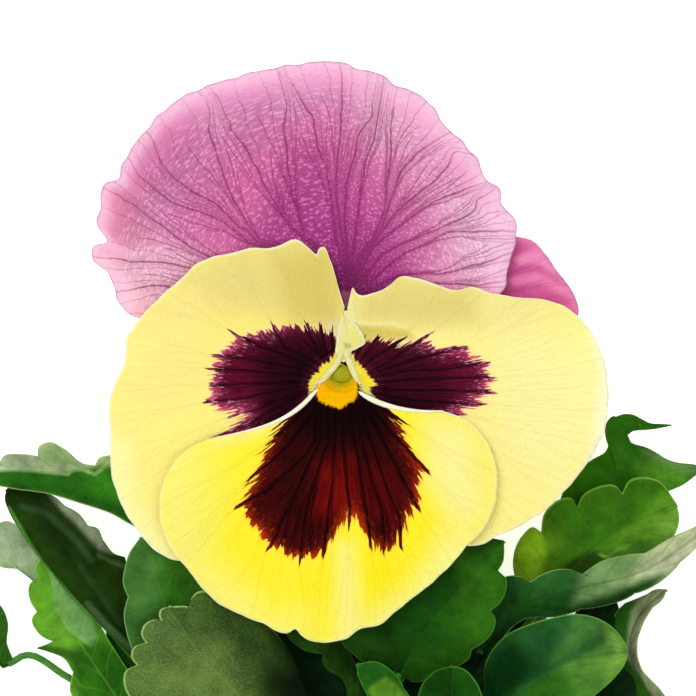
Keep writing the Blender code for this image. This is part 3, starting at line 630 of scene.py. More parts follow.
PETALS = (
    Petal(
        "petal_upper_right", 3.0, 52, 72, 6.0, 40, 110, 14.3, 6.5, 6.5, False, 0.05, 3.0,
        ((30.0, 4.5), (33.0, 7.2), (33.4, 10.2), (32.4, 12.3), (30.8, 14.4), (28.8, 17.2), (26.7, 19.3),
            (24.4, 19.7), (21.0, 22.0), (15.0, 31.0), (6.0, 38.5), (-3.0, 40.5), (-12.0, 38.5), (-19.0, 33.0),
            (-22.0, 24.0), (-20.0, 16.0), (-14.0, 11.0)),
    ),
    Petal(
        "petal_upper_left", 3.0, 108, 128, 6.0, 70, 150, 15.6, 3.0, 3.0, True, 0.12, 4.0,
        ((19.0, 8.6), (22.7, 12.1), (23.7, 16.4), (24.7, 19.9), (24.4, 22.0), (22.7, 24.1), (22.3, 26.2),
            (20.3, 27.9), (19.2, 30.5), (17.4, 32.7), (13.9, 36.2), (12.7, 38.3), (9.9, 40.2), (7.9, 40.9),
            (6.1, 42.2), (1.2, 43.8), (-0.4, 44.4), (-5.3, 44.3), (-11.3, 43.4), (-17.3, 41.8), (-21.6, 40.2),
            (-25.1, 37.8), (-27.9, 34.7), (-31.1, 29.8), (-31.7, 27.9), (-33.5, 27.2), (-34.2, 24.1),
            (-34.6, 21.3), (-33.3, 19.0), (-35.0, 18.4), (-35.3, 16.6), (-32.8, 14.2), (-31.7, 10.7),
            (-29.6, 8.4), (-25.5, 8.4)),
    ),
    Petal(
        "petal_side_right", 1.7, -46, 85, 5.0, -40, 86.5, 16.85, 2.2, 1.9, True, 0.1, 3.0,
        ((14.5, -23.2), (18.7, -23.9), (22.2, -22.4), (25.1, -21.1), (28.7, -18.9), (32.1, -15.5),
            (34.9, -11.9), (37.0, -7.6), (37.5, -3.4), (37.2, 0.8), (36.4, 3.6), (34.9, 6.5), (32.1, 9.3),
            (28.6, 10.7), (25.0, 11.0), (20.8, 11.7), (18.0, 12.5), (16.6, 12.1), (12.4, 13.1), (10.3, 13.8),
            (8.2, 13.9), (6.4, 12.5), (4.6, 11.7), (2.7, 11.3), (2.1, 11.6), (1.5, 12.4), (1.2, 11.4),
            (0.8, 9.6)),
    ),
    Petal(
        "petal_side_left", 1.7, 95, 226, 5.0, 91.5, 220, 16.85, 1.9, 2.2, True, 0.1, 3.0,
        ((0.35, 9.6), (-0.5, 12.4), (-1.1, 14.6), (-1.7, 16.4), (-2.7, 18.1), (-3.2, 17.9), (-3.6, 17.0),
            (-4.3, 17.6), (-6.2, 19.1), (-9.4, 18.1), (-13.6, 17.8), (-15.0, 17.4), (-20.0, 16.0),
            (-22.8, 13.5), (-27.0, 9.7), (-29.1, 7.2), (-30.2, 5.7), (-30.6, 2.2), (-31.2, 0.5),
            (-32.5, -2.3), (-32.7, -9.0), (-32.3, -14.7), (-30.6, -19.0), (-28.5, -22.1), (-25.7, -25.0),
            (-20.5, -26.2), (-15.5, -24.6)),
    ),
    Petal(
        "petal_lower", 1.7, 245, 295, 8.0, 222, 311, 18.1, 1.8, 1.8, True, 0.15, 3.0,
        ((-18.4, -8.7), (-21.6, -10.3), (-24.3, -13.3), (-25.6, -18.2), (-24.4, -23.6), (-21.9, -26.9),
            (-17.9, -31.6), (-11.5, -34.7), (-7.5, -36.1), (-6.6, -35.6), (-5.9, -36.4), (0.4, -37.0),
            (2.6, -35.6), (5.2, -35.0), (8.0, -32.7), (11.3, -30.1), (14.6, -27.2), (17.0, -24.4),
            (20.5, -20.4), (21.8, -14.7), (20.6, -9.8), (17.3, -6.2), (13.9, -4.9)),
        sway=0.95,
    ),
)

LEAVES = (
    Leaf(
        "leaf_far_left", -47.5, 178, ((-14.0, -38.0, 3.0),),
        ((165, 512, 6), (110, 468, 8.5), (60, 473, 9.5), (10, 471, 9.5), (-28, 474, 8.5)),
        ((160, 530, 5.5), (140, 528, 6), (110, 513, 7), (80, 503, 7.8), (50, 494, 8.3), (10, 488, 8.6),
            (-15, 482, 8.5)),
        ((170, 494, 6.5), (135, 455, 8), (110, 455, 8.5), (99, 458, 8.6), (95, 466, 8.6, NOTCH),
            (84, 464, 8.8), (63, 448, 9), (50, 442, 9), (39, 447, 9), (38, 456, 9, NOTCH), (20, 454, 9),
            (4, 456, 9), (0, 462, 8.8, NOTCH), (-14, 462, 8.6)),
    ),
    Leaf(
        "leaf_left_long", -57.0, 168, ((-12.0, -51.5, 2.6),),
        ((165, 690, 4), (128, 630, 6.2), (92, 575, 7.2), (50, 528, 7), (7, 489, 5.4)),
        ((157, 697, 4), (125, 652, 5.8), (105, 630, 6.2), (85, 612, 6.4), (65, 590, 6.3), (50, 570, 6.2),
            (33, 550, 5.8), (20, 530, 5.4), (10, 513, 5), (5, 498, 5)),
        ((173, 684, 4), (152, 640, 6.4), (134, 595, 7.6), (125, 557, 7.4, NOTCH), (115, 554, 7.4),
            (103, 540, 7.2, NOTCH), (97, 528, 7.2), (88, 526, 7.1, NOTCH), (79, 514, 7),
            (65, 506, 6.8, NOTCH), (55, 497, 6.4), (40, 491, 6), (12, 488, 5.5)),
    ),
    Leaf(
        "leaf_left_low", -62.5, 182, ((-14.0, -56.0, 1.2),), ((82, 640, 1), (40, 585, 0.3), (-20, 545, 0.3)),
        ((75, 645, 0.9), (52, 603, 0.4), (35, 568, 0.3), (4, 568, 0.2), (-14, 560, 0.2)),
        ((90, 634, 1), (72, 592, 0.9), (32, 525, 1.2), (8, 519, 1.1), (-10, 529, 0.7)),
        teeth_right=4, arch=0.0,
    ),
    Leaf(
        "leaf_left_bright", -71.0, 172, ((-12.0, -63.0, 2.4),),
        ((150, 740, 3.4), (105, 680, 3.8), (70, 625, 4.2), (42, 557, 4)),
        ((141, 746, 3.4), (90, 715, 3.4), (70, 690, 3.4), (73, 672, 3.5, NOTCH), (64, 658, 3.5),
            (50, 652, 3.4), (36, 648, 3.2, NOTCH), (48, 644, 3.5), (53, 641, 3.5, NOTCH), (47, 639, 3.6),
            (36, 630, 3.6), (32, 619, 3.6), (37, 612, 3.7, NOTCH), (30, 600, 3.7), (30, 584, 3.8),
            (38, 578, 3.8, NOTCH), (35, 568, 3.8)),
        ((159, 734, 3.4), (140, 690, 3.9), (112, 645, 4.3), (88, 605, 4.4), (62, 565, 4.2)),
    ),
    Leaf(
        "leaf_low_left", -79.5, 180,
        ((-22.0, -58.0, 1.0), (-40.0, -43.5, 1.2), (-46.0, -40.5, 1.4)),
        ((8, 664, 1.6), (-8, 635, 2.2), (-16, 600, 1.6)),
        ((2, 668, 1.5), (-18, 650, 1), (-27, 622, 0.3), (-23, 604, 0.6)),
        ((13, 659, 1.7), (7, 643, 2.2), (8, 624, 2.4), (3, 609, 2.2), (-8, 599, 1.8)),
        teeth_left=3,
    ),
    Leaf(
        "leaf_mid_left", -52.5, 140, (),
        ((215, 702, 8), (180, 640, 9.6), (158, 585, 10.3), (141, 537, 10)),
        ((206, 708, 8), (160, 685, 9), (135, 655, 9.4), (126, 630, 9.6), (124, 612, 9.8),
            (128, 597, 9.8, NOTCH), (123, 583, 10), (125, 567, 10), (131, 550, 10)),
        ((224, 696, 8), (250, 655, 9.4), (245, 618, 10), (222, 590, 10.3), (195, 566, 10.4),
            (165, 545, 10.3)),
        teeth_right=4,
    ),
    Leaf(
        "leaf_front_left", -66.0, 115, (),
        ((318, 772, 8.5), (262, 716, 11.5), (205, 660, 13), (168, 607, 12.2)),
        ((308, 782, 8.5), (240, 774, 10.5), (180, 748, 11.5, NOTCH), (150, 732, 11.8), (133, 703, 11.8,
            NOTCH), (124, 685, 12), (125, 672, 12), (137, 665, 12, NOTCH), (131, 657, 12.2), (133, 648, 12.2),
            (146, 643, 12.2, NOTCH), (141, 634, 12.4), (145, 624, 12.4), (157, 620, 12.4), (166, 626, 12.4,
            NOTCH), (159, 617, 12.4), (160, 610, 12.3)),
        ((326, 764, 8.5), (318, 722, 10.5), (304, 684, 11.5, NOTCH), (294, 658, 12), (276, 632, 12.2, NOTCH),
            (258, 616, 12.4), (236, 608, 12.4, NOTCH), (216, 592, 12.5), (196, 593, 12.5), (191, 601, 12.4),
            (194, 612, 12.4, NOTCH), (189, 607, 12.3), (179, 606, 12.3)),
    ),
    Leaf(
        "leaf_mid_dark", -49.5, 92, (), ((355, 722, 5), (340, 668, 6.6), (284, 630, 7)),
        ((347, 712, 5), (345, 683, 6), (341, 675, 6.2, NOTCH), (331, 672, 6.4), (322, 659, 6.6),
            (325, 652, 6.8, NOTCH), (314, 653, 6.8), (300, 648, 6.9), (289, 638, 6.9)),
        ((364, 718, 5), (363, 686, 6.2), (357, 666, 6.8), (340, 640, 7.2), (303, 619, 7.2)),
        teeth_right=3,
    ),
    Leaf(
        "leaf_front_right", -58.0, 62, (),
        ((400, 673, 9.5), (418, 640, 11.3), (450, 600, 12.2), (504, 541, 12)),
        ((395, 668, 9.5), (380, 664, 10.2), (362, 661, 10.6), (354, 655, 10.8, NOTCH), (344, 646, 11),
            (341, 634, 11.2, NOTCH), (350, 612, 12), (385, 588, 12.3), (420, 563, 12.5), (455, 545, 12.5),
            (485, 537, 12.3)),
        ((405, 678, 9.5), (415, 682, 9.8), (428, 679, 10.2), (440, 672, 10.6), (462, 664, 11),
            (470, 657, 11.2), (471, 650, 11.3, NOTCH), (485, 641, 11.5), (494, 629, 11.6), (495, 617, 11.6),
            (490, 611, 11.7, NOTCH), (500, 603, 11.7), (506, 590, 11.8), (506, 579, 11.8), (497, 572, 11.8,
            NOTCH), (503, 562, 12), (504, 550, 12)),
    ),
    Leaf(
        "leaf_bud_bright", -62.5, 85, (), ((412, 742, 11), (390, 703, 13), (357, 664, 13)),
        ((404, 747, 11), (378, 714, 12.4), (363, 687, 12.8), (357, 672, 12.9)),
        ((420, 738, 11), (413, 702, 13.2), (397, 675, 13.5), (374, 661, 13.3)),
        teeth_left=2, teeth_right=2,
    ),
    Leaf(
        "leaf_bud_round", -69.5, 68, (), ((455, 765, 12), (452, 715, 14), (452, 666, 14)),
        ((446, 767, 12), (416, 735, 13.6), (416, 705, 14), (424, 681, 14.1), (437, 670, 14.1)),
        ((464, 765, 12), (490, 735, 13.6), (485, 705, 14), (475, 680, 14.1), (464, 669, 14.1)),
    ),
    Leaf(
        "leaf_oval", -66.0, 40, (),
        ((478, 735, 8.5), (520, 690, 11), (570, 662, 12.3), (627, 652, 12)),
        ((471, 727, 8.7), (484, 692, 10.2), (486, 662, 11.2), (505, 636, 12), (530, 624, 12.4),
            (555, 617, 12.6), (575, 614, 12.6), (594, 617, 12.6), (611, 626, 12.4), (622, 638, 12.2),
            (626, 645, 12.1)),
        ((486, 743, 8.5), (520, 745, 9.5), (560, 722, 10.8), (595, 695, 11.6), (616, 676, 12), (624, 665, 12),
            (627, 657, 12)),
    ),
    Leaf(
        "leaf_right_long", -55.5, 22, (),
        ((482, 650, 6), (530, 603, 7.5), (580, 588, 8.4), (640, 572, 8.8), (718, 521, 8.8)),
        ((475, 642, 6), (496, 600, 7), (507, 576, 7.8), (520, 577, 8), (527, 583, 8, NOTCH), (545, 573, 8.2),
            (560, 569, 8.4), (572, 570, 8.5), (581, 575, 8.5, NOTCH), (600, 562, 8.8), (625, 555, 9),
            (645, 553, 9, NOTCH), (670, 538, 9.1), (692, 528, 9.1), (708, 520, 9)),
        ((489, 658, 6), (520, 622, 6.6), (560, 616, 7.2), (600, 607, 7.6), (630, 598, 8), (660, 582, 8.2),
            (692, 552, 8.4), (712, 530, 8.6)),
        teeth_right=5,
    ),
    Leaf(
        "leaf_right_broad", -51.5, 12, (),
        ((540, 610, 3.5), (580, 560, 4.8), (630, 525, 5.4), (677, 505, 5.4)),
        ((531, 604, 3.5), (516, 580, 4), (513, 560, 4.4), (522, 536, 4.8), (533, 527, 5),
            (541, 533, 5, NOTCH), (544, 514, 5.2), (556, 501, 5.3), (571, 498, 5.4), (576, 511, 5.4, NOTCH),
            (583, 495, 5.5), (600, 486, 5.6), (614, 485, 5.6), (622, 493, 5.6, NOTCH), (630, 480, 5.7),
            (645, 477, 5.7), (659, 481, 5.6), (667, 489, 5.5, NOTCH)),
        ((549, 616, 3.5), (590, 602, 4), (630, 580, 4.4), (660, 556, 4.8, NOTCH), (673, 538, 5),
            (679, 520, 5.2)),
    ),
    Leaf(
        "leaf_far_right", -47.5, 4, ((20.0, -31.0, 1.2),),
        ((575, 560, 1.4), (620, 500, 2.2), (660, 475, 2.3), (706, 466, 1.8)),
        ((554, 552, 1.4), (560, 500, 2), (573, 474, 2.4), (593, 459, 2.4), (606, 451, 2.5),
            (609, 444, 2.5, NOTCH), (606, 437, 2.6), (607, 422, 2.7), (613, 416, 2.7), (620, 419, 2.7),
            (623, 428, 2.6), (624, 437, 2.6, NOTCH), (632, 443, 2.6), (645, 447, 2.6), (655, 452, 2.5),
            (671, 461, 2.4), (690, 464, 2.2)),
        ((584, 568, 1.3), (640, 542, 0.9), (675, 515, 0.3), (668, 491, 1.2, NOTCH), (682, 485, 1.3),
            (697, 474, 1.5)),
    ),
    Leaf(
        "leaf_right_narrow", -74.5, 2, ((30.0, -59.0, 0.9),),
        ((672, 722, 1.2), (645, 685, 1.8), (630, 650, 2.4), (640, 615, 2.8), (666, 590, 2.2)),
        ((662, 727, 1.2), (632, 697, 1.4), (616, 665, 1.6), (612, 635, 2), (614, 615, 2.4),
            (625, 603, 2.6, NOTCH), (645, 595, 2.6), (657, 589, 2.4)),
        ((681, 716, 1.2), (659, 688, 2.4), (641, 668, 3.2), (637, 645, 3.6), (643, 624, 3.8), (652, 609, 3.3),
            (664, 597, 2.6)),
    ),
)


@dataclass(frozen=True)
class VeinFan:
    """The main veins of a petal, traced in the photograph from where they start, counter-clockwise."""

    origin: Point
    veins: tuple[tuple[Point, ...], ...]
    least_gap: float = 1.5
    spare_cell: float = 12.0

    def lay(self, pixels: np.ndarray) -> np.ndarray:
        """Where points lie among the veins.

        Args:
            pixels: Points in the photograph.

        Returns:
            For each point the number of its vein, with the share of the way to the next one, then the width
            of its cell and its distance from the origin, both in millimetres.
        """
        away = (pixels - np.array(self.origin)) * np.array([1.0, -1.0])
        reach = np.linalg.norm(away, axis=-1)
        middle = self.angles(np.array(self.veins[len(self.veins) // 2][-1:]))[0]
        angle = (np.degrees(np.arctan2(away[..., 1], away[..., 0])) - middle + 180.0) % 360.0 - 180.0
        lines = []
        for vein in self.veins:
            knots = np.array(vein)
            turned = (self.angles(knots) - middle + 180.0) % 360.0 - 180.0
            lines.append(np.interp(reach, np.linalg.norm(knots - np.array(self.origin), axis=-1), turned))
        for k in range(1, len(lines)):
            lines[k] = np.maximum(lines[k], lines[k - 1] + self.least_gap)
        lines = [lines[0] - self.spare_cell * k for k in (3, 2, 1)] + lines
        lines += [lines[-1] + self.spare_cell * k for k in (1, 2, 3)]
        number = np.zeros_like(reach)
        width = np.full_like(reach, self.spare_cell)
        for first, last in zip(lines[:-1], lines[1:]):
            number += np.clip((angle - first) / (last - first), 0.0, 1.0)
            width = np.where((angle >= first) & (angle < last), last - first, width)
        return np.stack([number, np.radians(width) * reach * MM_PER_PIXEL, reach * MM_PER_PIXEL], -1)

    def angles(self, knots: np.ndarray) -> np.ndarray:
        """The bearings of points in the photograph, seen from the origin."""
        away = knots - np.array(self.origin)
        return np.degrees(np.arctan2(-away[:, 1], away[:, 0]))


UPPER_VEINS = VeinFan((347, 312), (
    ((380, 296), (420, 284), (450, 284), (478, 286)),
    ((372, 290), (400, 276), (440, 275), (480, 265), (500, 257)),
    ((370, 284), (387, 267), (407, 252), (425, 245), (447, 232), (475, 232), (515, 232)),
    ((365, 278), (380, 257), (412, 240), (437, 230), (460, 220), (475, 210), (477, 200), (492, 190)),
    ((360, 274), (372, 250), (402, 225), (422, 210), (445, 197), (465, 190), (487, 183)),
    ((358, 272), (367, 257), (390, 220), (410, 200), (430, 185), (447, 167), (455, 150), (476, 156)),
    ((356, 270), (379, 235), (389, 205), (400, 172), (415, 155), (432, 144), (450, 133)),
    ((354, 268), (376, 235), (385, 210), (387, 185), (391, 155), (390, 130), (394, 97)),
    ((351, 270), (357, 225), (361, 190), (366, 160), (374, 140)),
    ((348, 270), (345, 225), (346, 185), (355, 155), (359, 135), (372, 118), (387, 98)),
    ((346, 270), (340, 225), (336, 195), (337, 162), (340, 137), (342, 108)),
    ((344, 270), (337, 245), (333, 205), (327, 167), (317, 147), (314, 120), (302, 102), (287, 77)),
    ((336, 272), (305, 237), (297, 210), (290, 180), (287, 155), (285, 130), (287, 102), (282, 72)),
    ((334, 275), (291, 228), (271, 197), (263, 180), (247, 150), (230, 130), (228, 118)),
    ((330, 280), (259, 240), (240, 213), (227, 185), (217, 155), (210, 130), (211, 108)),
    ((328, 282), (240, 228), (217, 205), (187, 190), (172, 177), (160, 160), (154, 142)),
    ((326, 284), (250, 243), (225, 222), (197, 211), (172, 203), (157, 191), (140, 177), (130, 160)),
    ((324, 287), (225, 262), (206, 256), (184, 243), (160, 223), (140, 210), (122, 197), (108, 190)),
    ((320, 292), (205, 272), (165, 262), (130, 262), (104, 258)),
    ((320, 297), (205, 292), (162, 286), (136, 287), (118, 292)),
))
REAR_VEINS = VeinFan((347, 312), (
    ((450, 330), (520, 325), (580, 322)),
    ((450, 318), (520, 306), (576, 300)),
    ((450, 306), (520, 290), (566, 278)),
    ((450, 296), (520, 270), (552, 256)),
    ((450, 284), (520, 252), (536, 243)),
    ((450, 270), (510, 235), (525, 220)),
))
LEFT_VEINS = VeinFan((336, 382), (
    ((330, 365), (322, 335), (318, 300), (322, 262)),
    ((325, 362), (308, 333), (296, 305), (286, 268)),
    ((320, 366), (284, 347), (269, 317), (250, 280)),
    ((312, 368), (262, 347), (233, 333), (190, 305)),
    ((308, 372), (250, 360), (209, 354), (150, 340)),
    ((306, 377), (250, 371), (208, 369), (130, 368)),
    ((306, 382), (250, 384), (205, 385), (120, 392)),
    ((306, 386), (250, 397), (206, 402), (120, 425)),
    ((307, 390), (262, 408), (222, 420), (130, 462)),
    ((307, 393), (255, 420), (211, 439), (135, 492)),
))
RIGHT_VEINS = VeinFan((346, 384), (
    ((400, 412), (470, 440), (560, 480)),
    ((385, 402), (457, 414), (570, 440)),
    ((378, 394), (440, 402), (484, 404), (590, 410)),
    ((376, 388), (440, 390), (493, 392), (600, 385)),
    ((378, 382), (440, 378), (498, 378), (595, 360)),
    ((380, 375), (440, 370), (490, 362), (580, 330)),
    ((378, 372), (420, 358), (466, 347), (540, 310)),
    ((375, 370), (405, 350), (433, 332), (480, 296)),
    ((366, 364), (390, 348), (405, 338), (440, 290)),
    ((360, 362), (370, 348), (378, 337), (395, 290)),
))
LOWER_VEINS = VeinFan((340, 372), (
    ((312, 398), (285, 414), (270, 422), (180, 452)),
    ((312, 402), (290, 425), (262, 446), (172, 500)),
    ((315, 408), (308, 420), (278, 455), (250, 478), (180, 540)),
    ((318, 410), (316, 440), (298, 462), (270, 487), (235, 507), (190, 560)),
    ((322, 410), (320, 440), (305, 472), (287, 510), (267, 553), (256, 600)),
    ((328, 412), (328, 440), (319, 468), (306, 510), (300, 571), (307, 610)),
    ((335, 412), (335, 440), (333, 475), (328, 520), (323, 556), (318, 620)),
    ((342, 412), (343, 440), (346, 475), (350, 510), (349, 530), (345, 630)),
    ((349, 412), (355, 440), (360, 475), (366, 510), (371, 541), (376, 620)),
    ((354, 410), (364, 450), (372, 480), (382, 508), (384, 552), (396, 600)),
    ((358, 408), (372, 445), (386, 485), (400, 518), (401, 546), (425, 590)),
    ((364, 406), (382, 438), (392, 458), (416, 505), (450, 560)),
    ((368, 404), (388, 428), (408, 450), (429, 474), (480, 520)),
    ((372, 400), (390, 414), (420, 432), (490, 470)),
))
LEFT_BLOTCH = (
    (336, 336), (326, 333), (318, 330), (305, 327), (285, 329), (262, 331), (250, 334), (240, 337),
    (228, 346), (219, 357), (214, 368), (212, 383), (213, 392), (209, 400), (218, 408), (230, 413),
    (245, 414), (238, 423), (225, 431), (212, 438), (230, 450), (290, 430), (309, 400), (307, 384),
    (312, 374), (318, 370), (319, 366), (328, 361), (330, 357), (335, 352), (337, 341),
)
RIGHT_BLOTCH = (
    (351, 351), (360, 346), (372, 341), (378, 337), (385, 342), (400, 344), (415, 342), (427, 337),
    (428, 342), (440, 341), (437, 346), (452, 347), (466, 348), (470, 356), (484, 362), (487, 370),
    (491, 380), (487, 386), (489, 392), (478, 398), (480, 404), (468, 409), (457, 414), (430, 428),
    (400, 424), (380, 406), (371, 390), (378, 384), (371, 376), (365, 369), (358, 362),
)
LOWER_BLOTCH = (
    (388, 410), (400, 425), (406, 440), (414, 455), (421, 470), (418, 488), (416, 505), (406, 522),
    (400, 538), (393, 545), (383, 549), (371, 541), (363, 527), (356, 514), (350, 509), (345, 518),
    (335, 534), (325, 552), (312, 555), (292, 556), (280, 549), (268, 541), (262, 529), (250, 521),
    (244, 506), (250, 490), (258, 470), (263, 455), (270, 440), (280, 424), (292, 407), (306, 385),
    (318, 372), (340, 362), (358, 376), (374, 393),
)
EYE = (
    (315, 386), (317, 397), (321, 402), (327, 405), (333, 406), (338, 409), (343, 407), (348, 403),
    (354, 401), (357, 395), (358, 386), (354, 372), (341, 358), (325, 368),
)
# An area far from the bloom and a colour that nothing gets, for petals without blotch or eye
NO_COLOUR = "#000000"
NO_AREA = ((-900, -900), (-899, -900), (-900, -899))


@dataclass(frozen=True)
class PetalLook:
    """What one petal wears: its veins, blotch, eye, ground colour and painted areas.

    A fold is a line in the photograph with its height and its half width. The frill is the height of the
    rim's small waves. Widths and heights are millimetres.
    """

    veins: VeinFan
    ground: str
    rim: str
    rim_width: float
    layers: tuple
    blotch: tuple = NO_AREA
    eye: tuple = NO_AREA
    stain: str = NO_COLOUR
    stain_layers: tuple = ()
    folds: tuple[tuple[tuple[Point, ...], float, float], ...] = ()
    frill: float = 0.07


